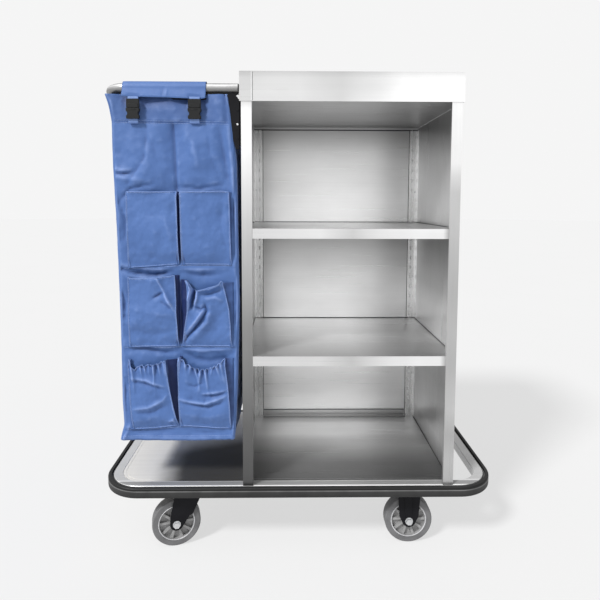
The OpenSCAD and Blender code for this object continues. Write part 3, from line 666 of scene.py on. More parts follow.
def bag_front_relief(x, z):
    """How far the bag's front stands out of its plane, in millimetres."""
    x, z = np.broadcast_arrays(np.asarray(x, float), np.asarray(z, float))
    seam = SEAM_Z(x)
    # The band's seam, its pucker, and the hem under it.
    out = rise(z - seam - 1.5, 0.8) - 1.5 * bell(z - seam, 1.9)
    ripple = 0.8 * np.sin(x / 8.5 + 1.3 * np.sin(x / 31)) + 0.4 * np.sin(x / 4.1)
    out += ripple * bell(z - seam, 7.0, 1)
    # The upper panel: the valley down its middle and a swell on either side.
    upper = rise(seam - z - 2, 3) * rise(z - 926, 3)
    d = x - (-312.5 + (1098.5 - z) * 0.0426)
    out -= upper * (7.0 * bell(d, 6.0, 1) + 4.0 * bell(d, 26))
    out += upper * 9.0 * bell(d - 62, 40) * bell(z - 1005, 70)
    out += upper * 7.5 * bell(d + 72, 42) * bell(z - 1000, 66)
    # The band: its waves, the bulge at its right end, and the part that lies under the flap.
    band = rise(z - seam, 3)
    out += band * 2.0 * np.cos((x + 318) / 27.0) * bell(z - 1130, 26)
    out += band * 3.0 * bell(x + 203, 17) * bell(z - 1138, 40)
    out -= band * 4.5 * bell(x + 180, 8)
    out -= 7.5 * rise(-232 - x, 5) * rise(x + 448, 5) * rise(z - 1133, 7)
    out += folds(x, z, FRONT_FOLDS)
    # The hem at the foot, and the small tucks along both sides.
    out += 2.2 * bell(z - 306, 6) - 1.2 * bell(z - 318, 2.2)
    for tuck in (628, 605, 470):
        out += 1.6 * bell(z - tuck, 3.5) * bell(x + 447, 9, 1)
        out -= 1.4 * bell(z - tuck + 8, 3.5) * bell(x + 445, 10, 1)
    out += 1.5 * bell(z - 520, 7) * bell(x + 160, 12, 1)
    out -= 3.5 * bell(z - 1170, 17)
    # Flat behind the buckles and towards the side edges.
    for buckle in BUCKLES:
        out *= 1 - 0.85 * bell(x - buckle, 17, 4) * bell(z - 1118, 36, 6)
    edge = np.minimum(np.abs(x - LEFT(z)), np.abs(RIGHT(z) - x))
    out *= np.clip(edge / 7, 0.15, 1)
    for row in ((-440, 743), (-300, 747)), ((-440, 542), (-300, 543)), ((-440, 330), (-300, 333)):
        out -= 1.3 * bell(z - lin(row)(x) + 3, 2.2) * np.clip(edge / 12, 0, 1)
    out += folds(x, z, SOFT_FOLDS)
    return out + 3.0 * cloud(x, z, 66, 3) + 1.2 * cloud(x, z, 24, 5)


# The two sides' folds have paths of (y, z) points.
SIDE_FOLDS = (
    ([(-205, 1120), (-165, 1010), (-135, 890), (-128, 760)], 15, 2.2, 1.3),
    ([(205, 1120), (170, 1000), (148, 870), (150, 740)], 17, 2.0, 1.3),
    ([(-222, 430), (-130, 385), (0, 398), (130, 378), (222, 425)], 11, 2.4, 1.3),
    ([(-222, 402), (-120, 360), (0, 372), (120, 352), (222, 398)], 10, -1.8, 1.3),
    ([(-222, 705), (-140, 668), (-50, 684)], 9, 2.0, 1.3),
    ([(-222, 688), (-140, 650), (-60, 664)], 8, -1.6, 1.3),
    ([(222, 640), (150, 604), (60, 626)], 9, 2.0, 1.3),
    ([(40, 1090), (22, 960), (34, 800), (20, 620)], 22, -1.8, 1.3),
)
BACK_FOLDS = (
    ([(-440, 760), (-330, 700), (-190, 735)], 14, 3.0, 1.5),
    ([(-445, 560), (-330, 500), (-180, 540)], 16, -3.2, 1.5),
)


def bag_body():
    """The bag's shell: front, right, back and left, joined by round corners."""
    zs = np.linspace(LOW_Z, TOP_Z, 218)
    rows = len(zs)
    r = 9.0
    plan = []
    for part, count, corner in (
        ("front", 74, (1, -1)), ("right", 46, (1, 1)), ("back", 56, (-1, 1)), ("left", 46, (-1, -1))
    ):
        plan += [(part, s) for s in np.linspace(0, 1, count)]
        plan += [(corner, a) for a in np.linspace(18, 72, 4)]
    grid = np.zeros((len(plan), rows, 3))
    xl, xr = LEFT(zs), RIGHT(zs)
    hang = np.sin(np.pi * np.clip((zs - LOW_Z) / (TOP_Z - LOW_Z), 0, 1)) ** 0.7
    for i, (part, s) in enumerate(plan):
        z = zs.copy()
        if part == "front":
            x = xl + r + s * (xr - xl - 2 * r)
            y = FRONT_Y - bag_front_relief(x, z)
        elif part == "back":
            x = xr - r - s * (xr - xl - 2 * r)
            relief = 1.6 * cloud(x, z, 70, 11) + 0.4 * cloud(x, z, 19, 12)
            relief += rise(z - 1099, 0.8) - 1.4 * bell(z - 1098, 1.9)
            relief -= 3.2 * bell(x + 310, 6, 1) * ramp(z, 1098, -12)
            relief -= 4.0 * np.sin(np.pi * s) * hang
            y = BACK_Y + relief + folds(x, z, BACK_FOLDS)
        elif part in ("left", "right"):
            way = 1 if part == "right" else -1
            y = np.full(rows, way * (FRONT_Y + r + s * (BACK_Y - FRONT_Y - 2 * r)))
            bow = np.sin(np.pi * s)
            edge = xl
            if part == "right":
                edge = xr
                z = zs - 9 * bow * ramp(zs, NOTCH_Z, SIDE_TOP - NOTCH_Z)
            waves = 5.0 * np.sin(2 * np.pi * (s * 2.0 + 0.15 * np.sin(z / 140))) * hang
            wrinkle = 2.5 * cloud(y, z, 75, 21 + way) + 0.6 * cloud(y, z, 22, 24 + way)
            wrinkle += folds(y, z, SIDE_FOLDS)
            take = np.clip(min(s, 1 - s) * 9, 0, 1)
            band = 0.8 * ramp(z, 1098, 1.5) - 1.2 * bell(z - 1098, 1.9)
            out = take * (0.45 * waves * bow + wrinkle - 1.5) + band
            x = edge + way * (-7.0 * bow * hang + out)
            if part == "right":
                x = np.minimum(x, -151.0)
        else:
            across, back = part
            a = math.radians(s)
            turn = (math.sin(a), math.cos(a))
            cx, cy = turn if across * back < 0 else turn[::-1]
            wide = r + 0.5 * cloud(np.full(rows, 40.0 * i), zs, 34, 31)
            x = (xr - r if across > 0 else xl + r) + across * wide * cx
            y = back * (abs(FRONT_Y) - r + wide * cy)
        grid[i, :, 0], grid[i, :, 1], grid[i, :, 2] = x, y, z
    rim = [k for k, (part, _) in enumerate(plan) if part == "right"]
    first, last = rim[0], rim[-1]

    def keep(i, j):
        """The right side stops short of the frame, and is notched beside both brackets."""
        if not first - 1 <= i <= last:
            return True
        beside = max(abs(grid[i, j, 1]), abs(grid[i + 1, j, 1])) > NOTCH_Y
        return zs[j] < (NOTCH_Z if beside else SIDE_TOP)

    # Painted shade on the front: darker above the seam and in the gaps between the pockets, and a
    # painted shadow under the flap.
    x, z = grid[:, :, 0], grid[:, :, 2]
    fold = 0.2 * rise(z - 1098, 1.2)
    for low, high in ((752, 928), (546, 716), (340, 500)):
        fold += 0.95 * ramp(z, low, 12) * ramp(z, high, -12) * bell(x + 299, 8.5, 4)
    painted_flap_shadow = (x > -436) & (x < -227)
    fold += painted_flap_shadow * (0.14 * ramp(z, 1105, 30) + 0.3 * bell(z - 1150, 9))
    fold *= grid[:, :, 1] < FRONT_Y + 12
    ob = cloth("bag_body", grid, 1.6, M["cloth"], closed=True, keep=keep, fold=fold)
    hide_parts("bag_front", "bag_rear", "bag_left", "bag_right")
    return ob


def bag_base():
    """The bag's bottom, sagging a little in its middle."""
    s, t = np.meshgrid(np.linspace(0, 1, 40), np.linspace(0, 1, 60), indexing="ij")
    x = -455.5 + s * 287.0
    y = -229.5 + t * 459.0
    bow = np.abs(np.sin(np.pi * s) * np.sin(np.pi * t)) ** 0.6
    z = 303.0 - 9.0 * bow + 1.5 * cloud(x, y, 60, 41) * np.abs(np.sin(np.pi * s)) ** 0.5
    ob = cloth("bag_base", np.stack([x, y, z], 2)[:, ::-1], 1.6, M["cloth"])
    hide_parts("bag_bottom")
    return ob


# ---------------------------------------------------------------- pockets
SEWN = []
PIPED = []

# How a side gusset runs from the bag (0) to the pocket's face (1): share of the way, share of
# the depth, and how far its fold is drawn in under the face.
GUSSET = [(0.0, 0.0, 0.0), (0.1, 0.12, 0.35), (0.3, 0.3, 0.8), (0.5, 0.48, 1.0),
          (0.72, 0.7, 0.8), (0.9, 0.9, 0.3)]


def pocket(name, side, face, bottom, mouth, depth, relief, tuck=(7, 7), hem=9.0):
    """A bellows pocket. side is the (left, right) places where its gussets meet the bag, and
    face where they meet its face, as functions of height; bottom and mouth give the face's ends
    across; depth is a function of (share across, height); tuck is how far each gusset's fold is
    drawn in."""
    across = np.concatenate([[0.0, 0.012, 0.03], np.linspace(0.05, 0.95, 58), [0.97, 0.988, 1.0]])
    foot, lip = np.linspace(0, 0.05, 5), np.linspace(0.86, 1.0, 17)
    up = np.concatenate([foot[:-1], np.linspace(0.05, 0.86, 52), lip[1:]])
    low, high = bottom(across), mouth(across)
    faces = []
    for k, s in enumerate(across):
        z = low[k] + up * (high[k] - low[k])
        x = face[0](z) + s * (face[1](z) - face[0](z))
        d = depth(s, z) * (0.12 + 0.88 * np.sin(np.pi / 2 * np.clip(up / 0.2, 0, 1)))
        faces.append((x, z, d + relief(x, z, s, up)))
    gussets = [
        [(edge + a * (x1 - edge) + c * draw, z, d1 * b) for a, b, c in GUSSET]
        for edge, draw, (x1, z, d1) in (
            (side[0], tuck[0], faces[0]), (side[1], -tuck[1], faces[-1])
        )
    ]
    cols = gussets[0] + faces + gussets[1][::-1]
    skip = len(GUSSET)
    grid = np.zeros((len(cols), len(up) + 3, 3))
    for i, (x, z, d) in enumerate(cols):
        turned = hem_step(z, high[min(max(i - skip, 0), len(across) - 1)], hem)
        bag_y = FRONT_Y - bag_front_relief(x, z) - 0.3
        y = bag_y - np.maximum(d + turned, 0.0)
        grid[i, 3:] = np.stack([x, y, z], 1)
        # Three rows close the foot of the pocket back to the bag.
        for j, (share, drop) in enumerate(((0.0, 0.0), (0.35, 2.1), (0.75, 3.0))):
            grid[i, j] = (x[0], bag_y[0] + share * (y[0] - bag_y[0]), z[0] - drop)
    # Painted shade down each side gusset, near black where it lies between two pockets.
    fold = np.zeros(grid.shape[:2])
    for k, (_, _, deep) in enumerate(GUSSET):
        for column, edge in ((k, side[0]), (-1 - k, side[1])):
            between_pockets = abs(edge + 300) < 20
            dark = 0.85 + 0.15 * deep if between_pockets else 0.6 * deep
            fold[column, 3:] = ramp(up, 0, 0.1) * dark
    front = grid[skip:-skip, 3:]
    PIPED.extend([(front[:, -1], 0.95), (front[:, 0], 0.6), (front[0], 0.75), (front[-1], 0.75)])
    for column, inward in ((front[0], 1.6), (front[-1], -1.6)):
        SEWN.append(column[4:-4] + np.array([inward, -0.1, 0.0]))
    SEWN.append(front[2:-2, 0] + np.array([0.0, -0.1, 1.2]))
    SEWN.append(front[2:-2, -1] - np.array([0.0, 0.1, 2.0]))
    return cloth(name, grid, 1.3, M["cloth"], fold=fold)


def hem_step(z, top, wide):
    """A turned hem at a mouth: a second layer and the dent of its stitching."""
    below = top - z
    return 0.9 * rise(wide - below, 0.6) - 0.7 * bell(below - wide + 1.6, 1.3)


def puckers(seed, count, reach, size, dip):
    """Uneven ridges and the pinches between them, drawn up under an elastic mouth."""
    rng = np.random.default_rng(seed)
    centre = (np.arange(count) + rng.uniform(0.15, 0.85, count)) / count
    tall = size * rng.uniform(0.45, 1.35, count)
    wide = rng.uniform(0.2, 0.36, count) / count
    long = reach * rng.uniform(0.5, 1.7, count)
    lean = rng.uniform(-0.035, 0.035, count)

    def f(s, below):
        b = np.maximum(below, 0)
        out = -0.45 * size * np.exp(-b / reach) - dip * bell(below - 2, 5) * np.sin(np.pi * s)
        for c, t, w, l, k in zip(centre, tall, wide, long, lean):
            out = out + t * bell(s - c - k * b / l, w) * np.exp(-b / l)
        return out

    return f


def scallop(s, high, count, phase):
    """The small waves of a gathered edge."""
    wave = np.sin(2 * np.pi * (count * s + 0.4 * np.sin(6.1 * s + phase)))
    return high * wave * np.sin(np.pi * s) ** 0.3


def swell(high, share, rough, size, seed, lines, more=None):
    """The shape of a pocket's face: a bow, soft noise, its folds and what more adds."""
    def relief(x, z, s, up):
        out = high * np.sin(np.pi * s) * np.sin(np.pi * np.clip(up, 0.05, 1) * share)
        out += rough * cloud(x, z, size, seed) + folds(x, z, lines)
        return out + more(x, z, s) if more else out

    return relief


def turned_corner(x, z, s):
    """The middle left pocket's corner, folded over at its top right."""
    over = ((x + 352) * (636.5 - 717) - (z - 717) * (-312 + 352)) / 90.0
    ridge = 5.2 * bell(over, 3.0, 1) * ramp(z, 628, 25)
    return ridge - 0.3 * np.clip(-over, 0, 40) * ramp(z, 632, 20)


MOUTH_L = smooth(
    [(0, 512), (0.05, 505), (0.12, 492), (0.18, 488), (0.3, 499), (0.42, 497.5), (0.52, 500.5),
     (0.66, 501), (0.8, 505.5), (1, 512)]
)
MOUTH_R = smooth(
    [(0, 519), (0.1, 511), (0.2, 503.5), (0.35, 492), (0.5, 486.5), (0.65, 489), (0.8, 497),
     (0.92, 506), (1, 513)]
)


def top_pockets():
    """Two flat pockets with straight mouths."""
    left = pocket(
        "pocket_top_left", (-427.0, -299.5),
        (lin([(743, -425.0), (930, -425.8)]), lin([(750, -300.2), (930, -302.6)])),
        lin([(0, 743.5), (1, 752.5)]), smooth([(0, 929.5), (0.5, 929.0), (1, 930.2)]),
        lambda s, z: (9.5 + 3.5 * s) * (0.72 + 0.28 * ramp(z, 745, 80)),
        swell(1.6, 0.75, 0.9, 60, 51, (
            ([(-318, 925), (-330, 860), (-315, 790)], 12, 1.6, 1.6),
            ([(-420, 800), (-370, 770), (-315, 772)], 16, -1.5, 1.6),
        )),
        tuck=(7, 10),
    )
    right = pocket(
        "pocket_top_right", (-296.0, -170.0),
        (lin([(751, -292.6), (930, -293.8)]), lin([(751, -171.0), (930, -175.3)])),
        lin([(0, 751.8), (1, 751.0)]),
        smooth([(0, 930.2), (0.4, 929.6), (0.85, 931.5), (1, 929.0)]),
        lambda s, z: (13.0 - 3.0 * s) * (0.72 + 0.28 * ramp(z, 750, 80)),
        swell(2.0, 0.75, 0.9, 62, 52, (
            ([(-188, 925), (-196, 850), (-182, 790)], 10, -1.5, 1.5),
            ([(-285, 905), (-245, 845), (-215, 775)], 18, 1.4, 1.6),
        )),
        tuck=(10, 7),
    )
    return left, right


def middle_pockets():
    """Two slack pockets: a corner turned over on the left, a crushed mouth on the right."""
    left = pocket(
        "pocket_middle_left", (-429.5, -300.5),
        (
            lin([(544, -426.6), (719, -425.6)]),
            smooth([(546, -304.0), (600, -305.5), (655, -307.0), (700, -309), (722, -310.5)]),
        ),
        lin([(0, 543.5), (1, 546.5)]),
        smooth([(0, 719), (0.08, 716.5), (0.3, 716.5), (0.62, 718.5), (0.9, 722), (1, 724)]),
        lambda s, z: (9.0 + 2.0 * s) * (0.65 + 0.35 * ramp(z, 545, 50))
        + 9.0 * s**1.5 * ramp(z, 550, 170),
        swell(2.5, 0.8, 1.0, 48, 53, (
            ([(-364, 668), (-345, 680), (-336, 683)], 5, -3.4, 1.2, 0.3),
            ([(-340, 684), (-328, 662), (-316, 650)], 6, 2.4, 1.3),
            ([(-346, 660), (-330, 652), (-318, 640)], 4, -1.8, 1.2),
            ([(-422, 640), (-370, 632), (-312, 628)], 12, 1.6, 1.6),
            ([(-420, 588), (-370, 575), (-312, 583)], 15, -2.2, 1.7),
        ), turned_corner),
        tuck=(6, 11),
    )
    right = pocket(
        "pocket_middle_right", (-297.0, -166.0),
        (
            smooth([(545, -294.5), (600, -285.5), (636, -279.5), (663, -277.0), (706, -280),
                    (722, -287)]),
            smooth([(545, -172.0), (600, -174.0), (641, -177.5), (680, -186.5), (703, -193),
                    (722, -188)]),
        ),
        lin([(0, 546.0), (1, 545.5)]),
        smooth([(0, 713), (0.07, 709), (0.16, 690), (0.22, 686), (0.5, 692), (0.8, 699),
                (0.9, 702), (0.95, 711), (1, 706)]),
        lambda s, z: (10.0 - 2.0 * s) * (0.65 + 0.35 * ramp(z, 545, 50))
        + 9.0 * (1 - s) ** 1.5 * ramp(z, 550, 170) + 3.5 * np.sin(np.pi * s) * ramp(z, 600, 100),
        swell(2.2, 0.7, 1.2, 40, 54, (
            ([(-279, 712), (-270, 690), (-277, 664), (-281, 640)], 4.5, 6.0, 1.3),
            ([(-268, 706), (-261, 686), (-266, 664), (-270, 645)], 4.0, -9.0, 1.2, -0.2),
            ([(-256, 690), (-256, 668), (-262, 652)], 5.0, 4.5, 1.3),
            ([(-255, 690), (-225, 690), (-195, 702)], 5.0, 3.0, 1.3),
            ([(-250, 676), (-222, 679), (-195, 688)], 8.0, -3.4, 1.4),
            ([(-238, 668), (-210, 671), (-188, 660)], 8.0, 2.4, 1.5),
            ([(-262, 647), (-245, 640), (-236, 648)], 4.5, -4.0, 1.2),
            # The long fold that runs down to the left.
            ([(-236, 650), (-232, 636), (-247, 612), (-264, 590), (-290, 561)],
             4.2, -6.0, 1.1, -0.35),
            ([(-243, 648), (-243, 634), (-258, 612), (-276, 590)], 7.0, 4.6, 1.4),
            ([(-222, 640), (-232, 606), (-262, 573)], 11.0, 2.6, 1.5),
            ([(-205, 640), (-208, 600), (-225, 566)], 16.0, -1.6, 1.7),
        )),
        tuck=(11, 7), hem=6.0,
    )
    return left, right


def bottom_pockets():
    """Two pockets gathered on elastic at their mouths."""
    gathers_l, gathers_r = puckers(17, 8, 15.0, 10.0, 3.0), puckers(29, 9, 17.0, 11.5, 3.2)
    left = pocket(
        "pocket_bottom_left", (-430.0, -302.0),
        (
            smooth([(330, -421.5), (400, -426.5), (505, -429.5), (522, -427)]),
            smooth([(338, -307.0), (400, -318.5), (455, -327.5), (510, -335), (522, -336)]),
        ),
        smooth([(0, 331), (0.5, 333.5), (1, 341)]),
        lambda s: MOUTH_L(s) + scallop(s, 1.6, 8.3, 0.4),
        lambda s, z: (10.0 + 2.5 * s) * (0.6 + 0.4 * ramp(z, 335, 50))
        + 12.0 * s**1.3 * ramp(z, 340, 170),
        swell(3.5, 0.85, 1.1, 44, 55, (
            ([(-424, 466), (-385, 462), (-338, 447)], 5.0, 2.6, 1.2),
            ([(-420, 457), (-385, 452), (-342, 440)], 5.0, -2.2, 1.3),
            ([(-418, 386), (-380, 392), (-345, 410), (-332, 425)], 7.0, 3.0, 1.3, 0.3),
            ([(-412, 374), (-370, 378), (-335, 398)], 9.0, -2.4, 1.4),
            ([(-330, 352), (-320, 358), (-314, 345)], 5.0, 2.8, 1.2),
        ), lambda x, z, s: gathers_l(s, MOUTH_L(s) - z)),
        tuck=(6, 12), hem=5.0,
    )
    right = pocket(
        "pocket_bottom_right", (-302.5, -167.0),
        (
            smooth([(330, -303.0), (400, -304.0), (500, -305.0), (522, -303)]),
            smooth([(330, -175.0), (395, -177.0), (451, -181.6), (500, -188.5), (522, -188)]),
        ),
        smooth([(0, 339.5), (0.5, 335), (1, 331)]),
        lambda s: MOUTH_R(s) + scallop(s, 1.9, 9.1, 2.0),
        lambda s, z: (10.5 - s) * (0.6 + 0.4 * ramp(z, 335, 50)) + 7.0 * ramp(z, 340, 170),
        swell(3.0, 0.8, 1.1, 44, 56, (
            ([(-300, 413), (-270, 406), (-238, 402), (-200, 414), (-184, 422)], 5.0, 3.6, 1.2, 0.2),
            ([(-296, 403), (-262, 396), (-232, 392), (-196, 403)], 6.0, -2.6, 1.3),
            ([(-246, 428), (-215, 430), (-188, 434)], 4.0, 2.4, 1.2),
            ([(-240, 421), (-212, 422), (-190, 427)], 4.0, -2.0, 1.2),
            ([(-280, 450), (-262, 446), (-245, 455)], 5.0, -2.2, 1.2),
            ([(-292, 372), (-240, 365), (-186, 374)], 12.0, 1.6, 1.6),
        ), lambda x, z, s: gathers_r(s, MOUTH_R(s) - z)),
        tuck=(8, 9), hem=5.0,
    )
    return left, right


# ---------------------------------------------------------------- flaps, webbing, buckles
TUBE_Y, TUBE_Z, BEND_X = -215.0, 1182.0, -419.5
FLAP_FOLDS = (
    ([(-322, 1196), (-327, 1158)], 3.0, 1.3, 1.3),
    ([(-331, 1196), (-335, 1158)], 4.0, -1.0, 1.3),
)
FRONT_HEM = [(-434, 1159.6), (-405, 1158), (-330, 1156.8), (-268, 1154), (-246, 1152.4),
             (-229, 1156)]
REAR_HEM = [(-434, 1159), (-330, 1157), (-229, 1158)]
# The tabs' paths have (y, z) points.
TAB_TOP = [(-236.3, 1158), (-236.9, 1154), (-237.1, 1146.6), (-238.3, 1144.4), (-239.6, 1146.6),
           (-239.7, 1151), (-239.0, 1155), (-237.8, 1158)]
TAB_LOW = [(-234.6, 1094.4), (-235.2, 1098), (-235.8, 1107.4), (-237.0, 1109.2), (-239.0, 1108.4),
           (-240.0, 1106.4), (-240.1, 1101.0), (-239.6, 1097.0), (-238.4, 1094.8), (-236.4, 1094.0)]
# The seams under each row of pockets: where each ends on the right, and its line.
FRONT_SEAMS = [
    (-172, ((-450, 312), (-172, 312))),
    (-168, ((-440, 741), (-427, 740), (-360, 742), (-300, 748.5), (-168, 748))),
    (-166, ((-440, 541), (-360, 541), (-300, 543), (-166, 542))),
    (-170, ((-440, 328), (-360, 329), (-302, 336), (-170, 328))),
]
STITCH = 3.8


def along(line):
    """How far each point of a line lies from its start."""
    return np.concatenate([[0], np.cumsum(np.linalg.norm(np.diff(line, axis=0), axis=1))])


def flap(name, way, hem_z):
    """A flap laid over a tube leg. way is 1 at the front and -1 at the back."""
    path = [(13.9, -8.5), (13.6, -4.0)]
    for a in np.radians(np.linspace(4, 176, 22)):
        up = math.sin(a)
        path.append((13.4 * math.cos(a), (13.4 + 1.8 * up * up) * up))
    hung, drops, columns = len(path), 22, 84
    grid = np.zeros((columns, hung + drops, 3))
    for i, x in enumerate(np.linspace(-432.6, -230.2, columns)):
        # The flap follows the tube where it bends.
        shift = 60 - math.sqrt(3600 - max(0.0, BEND_X - x) ** 2)
        for j, (py, pz) in enumerate(path):
            grid[i, j] = (x, TUBE_Y + py + shift, TUBE_Z + pz)
        for k in range(drops):
            t = (k + 1) / drops
            z = TUBE_Z - t * (TUBE_Z - float(hem_z(x)))
            out = 13.4 + 4.6 * (1 - math.cos(math.pi * min(1, t * 1.15))) / 2
            grid[i, hung + k] = (x, TUBE_Y - out + shift * (1 - t) ** 2, z)
    x, z = grid[:, :, 0], grid[:, :, 2]
    sag = ramp(z, TUBE_Z + 6, -24) * (grid[:, :, 1] < TUBE_Y)
    ripple = 0.9 * cloud(x, z, 40, 61)
    ripple += (0.7 * np.sin(x / 23.0 + 0.6) + folds(x, z, FLAP_FOLDS)) * sag
    ripple += 0.6 * bell(z - hem_z(x) - 3.6, 1.3) * sag
    grid[:, :, 1] -= (ripple + 0.8 * sag) * (0.25 + 0.75 * sag)
    for buckle in BUCKLES:
        behind = np.maximum(-232.8 - grid[:, :, 1], 0)
        grid[:, :, 1] += bell(x - buckle, 17, 6) * behind
    if way < 0:
        grid[:, :, 1] *= -1
    else:
        SEWN.append(grid[2:-2, -4])
        grid = grid[::-1]
    return cloth(name, grid, 1.5, M["cloth"], offset=1.0)


def webbing(name, path, x, width, body):
    """A flat woven strap along a path of (y, z) points."""
    path = np.array(path, float)
    t = np.linspace(0, along(path)[-1], 40)
    y, z = (np.interp(t, along(path), path[:, c]) for c in (0, 1))
    columns = [
        np.stack([np.full(len(t), x + a * width), y + 0.25 * (abs(a) > 0.46), z], 1)
        for a in np.linspace(0.5, -0.5, 15)
    ]
    ob = cloth(name, np.array(columns), 1.3, M["webbing"], offset=0.0, body=body)
    s = ob.modifiers.new("round", "SUBSURF")
    s.levels = s.render_levels = 1
    return ob


def plate(outline, y, bevel):
    """A moulded plate from an outline in x and z, between two depths, with rounded edges."""
    cu = bpy.data.curves.new("plate", "CURVE")
    cu.dimensions, cu.fill_mode = "2D", "BOTH"
    cu.bevel_depth, cu.bevel_resolution = bevel * MM, 2
    cu.extrude = ((y[1] - y[0]) / 2 - bevel) * MM
    cu.offset = -bevel * MM
    sp = cu.splines.new("POLY")
    sp.points.add(len(outline) - 1)
    for p, (x, z) in zip(sp.points, outline):
        p.co = (x * MM, z * MM, 0, 1)
    sp.use_cyclic_u = True
    tmp = bpy.data.objects.new("plate", cu)
    me = bpy.data.meshes.new_from_object(tmp)
    bpy.data.objects.remove(tmp)
    bpy.data.curves.remove(cu)
    middle = (y[0] + y[1]) / 2 * MM
    me.transform(Matrix(((1, 0, 0, 0), (0, 0, -1, middle), (0, 1, 0, 0), (0, 0, 0, 1))))
    me.materials.clear()
    return me


def joined(name, meshes, material, body):
    bm = bmesh.new()
    for me in meshes:
        bm.from_mesh(me)
        bpy.data.meshes.remove(me)
    bmesh.ops.remove_doubles(bm, verts=bm.verts, dist=1e-6)
    return placed(from_bmesh(bm, name), material, body)


def mirrored(half, x, z):
    """A closed outline about (x, z) from its right half, drawn from the bottom up."""
    return [(x + a, z + b) for a, b in half] + [(x - a, z + b) for a, b in reversed(half) if a]


def beside(outline, x, z):
    """An outline on the right of (x, z), and the same on its left."""
    return [[(x + way * a, z + b) for a, b in outline] for way in (-1, 1)]


def socket_plates(x, z=1104.0):
    """A buckle's lower half: a shell round the prongs, and a bar for its webbing at the foot."""
    top = [(15.0, 8), (13.0, 10.5), (12.4, 13), (13.4, 16), (15.6, 18.5), (16.0, 22), (16.0, 25.2),
           (15.0, 26), (0, 26)]
    shell = [(0, 0), (13.5, 0), (15.2, 1.2), (15.6, 5), *top]
    upper = [(0, 6.4), (15.2, 6.4), *top]
    core = [(0, 7.2), (11.2, 7.2), (11.2, 13), (14.4, 19), (14.6, 25.6), (0, 25.6)]
    bar = [(0, 0.9), (13.4, 0.9), (13.4, 2.9), (0, 2.9)]
    cheek = [(12.9, 0.6), (15.0, 0.8), (15.2, 5.0), (14.4, 8.4), (12.9, 8.4)]
    parts = [
        plate(mirrored(shell, x, z), (-245.0, -242.6), 0.7),
        plate(mirrored(upper, x, z), (-237.2, -235.2), 0.6),
        plate(mirrored(core, x, z), (-243.2, -236.6), 0.4),
        plate(mirrored(bar, x, z), (-239.0, -236.8), 0.3),
    ]
    parts += [plate(side, (-243.2, -236.6), 0.4) for side in beside(cheek, x, z)]
    for low in (20.2, 22.4):
        rib = mirrored([(9, low), (9, low + 1.0)], x, z)
        parts.append(plate(rib, (-245.4, -244.6), 0.3))
    return parts


def plug_plates(x, z=1130.4):
    """A buckle's upper half: a frame with a slot for its webbing, and three prongs."""
    foot = [(0, 0), (14.2, 0), (15.2, 1.0), (15.4, 4)]
    outline = [*foot, (15.2, 18), (14.4, 21.0), (12.8, 21.6), (0, 21.6)]
    block = [*foot, (15.3, 11.4), (0, 11.4)]
    step = [(0, 0.6), (12.6, 0.6), (13.2, 2), (12.2, 9.6), (0, 9.6)]
    prong = [(7.4, 0.5), (11.0, 0.5), (11.4, -8), (12.6, -12.4), (12.6, -18.2), (10.6, -19.2),
             (9.4, -17.0), (8.4, -8)]
    cheek = [(12.9, 11.0), (15.1, 11.0), (15.0, 18.0), (14.3, 20.6), (12.9, 20.6)]
    parts = [
        plate(mirrored(outline, x, z), (-243.0, -240.9), 0.7),
        plate(mirrored(block, x, z), (-242.6, -236.4), 0.8),
        plate(mirrored(step, x, z), (-244.2, -242.4), 0.6),
        plate(mirrored([(1.4, -18.6), (1.8, 0.5)], x, z), (-241.4, -238.4), 0.4),
    ]
    parts += [plate(side, (-242.0, -237.8), 0.5) for side in beside(prong, x, z)]
    parts += [plate(side, (-241.2, -236.4), 0.4) for side in beside(cheek, x, z)]
    return parts


def unit(v):
    return v / np.maximum(np.linalg.norm(v, axis=-1, keepdims=True), 1e-9)


def thread(points, faces, rings, around):
    """Adds a closed round strand through rings of (centre, radius, side, out)."""
    base = len(points)
    for centre, radius, side, out in rings:
        for t in 2 * np.pi * np.arange(around) / around:
            points.append((centre + radius * (math.cos(t) * side + math.sin(t) * out)) * MM)
    for ring in range(base, len(points) - around, around):
        for m in range(around):
            a, b = ring + m, ring + (m + 1) % around
            faces.append((a, b, b + around, a + around))
    faces.append(tuple(reversed(range(base, base + around))))
    faces.append(tuple(range(len(points) - around, len(points))))


def stitching():
    """Every sewn line of the bag as short raised threads."""
    points, faces = [], []
    for line in SEWN:
        run = along(line)
        for k in range(int(run[-1] // STITCH)):
            p, q = (
                np.array([np.interp((k + share) * STITCH, run, line[:, c]) for c in range(3)])
                for share in (0.15, 0.8)
            )
            ahead = unit(q - p)
            out = np.array([0, -1.0 if p[1] < 0 else 1.0, 0])
            side = unit(np.cross(ahead, out))
            mid = (p + q) / 2 + out * 0.75
            belly = ahead * 0.7
            rings = [
                (p + out * 0.2, 0.16, side, out), (mid - belly, 0.34, side, out),
                (mid + belly, 0.34, side, out), (q + out * 0.2, 0.16, side, out),
            ]
            thread(points, faces, rings, 5)
    return mesh_of("bag_stitching", points, faces, M["thread"])


def piping():
    """A thin bound edge round every pocket's mouth and down its sides, lighter than the cloth:
    partly the binding's own colour and partly a painted highlight along it.
    """
    points, faces = [], []
    out = np.array([0.0, -1.0, 0.0])
    for line, radius in PIPED:
        side = unit(np.cross(unit(np.gradient(line, axis=0)), out))
        last = len(line) - 1
        rings = [
            (p + out * 0.25, radius * (0.5 if k in (0, last) else 1.0), side[k], out)
            for k, p in enumerate(line)
        ]
        thread(points, faces, rings, 6)
    return mesh_of("bag_piping", points, faces, M["piping"])


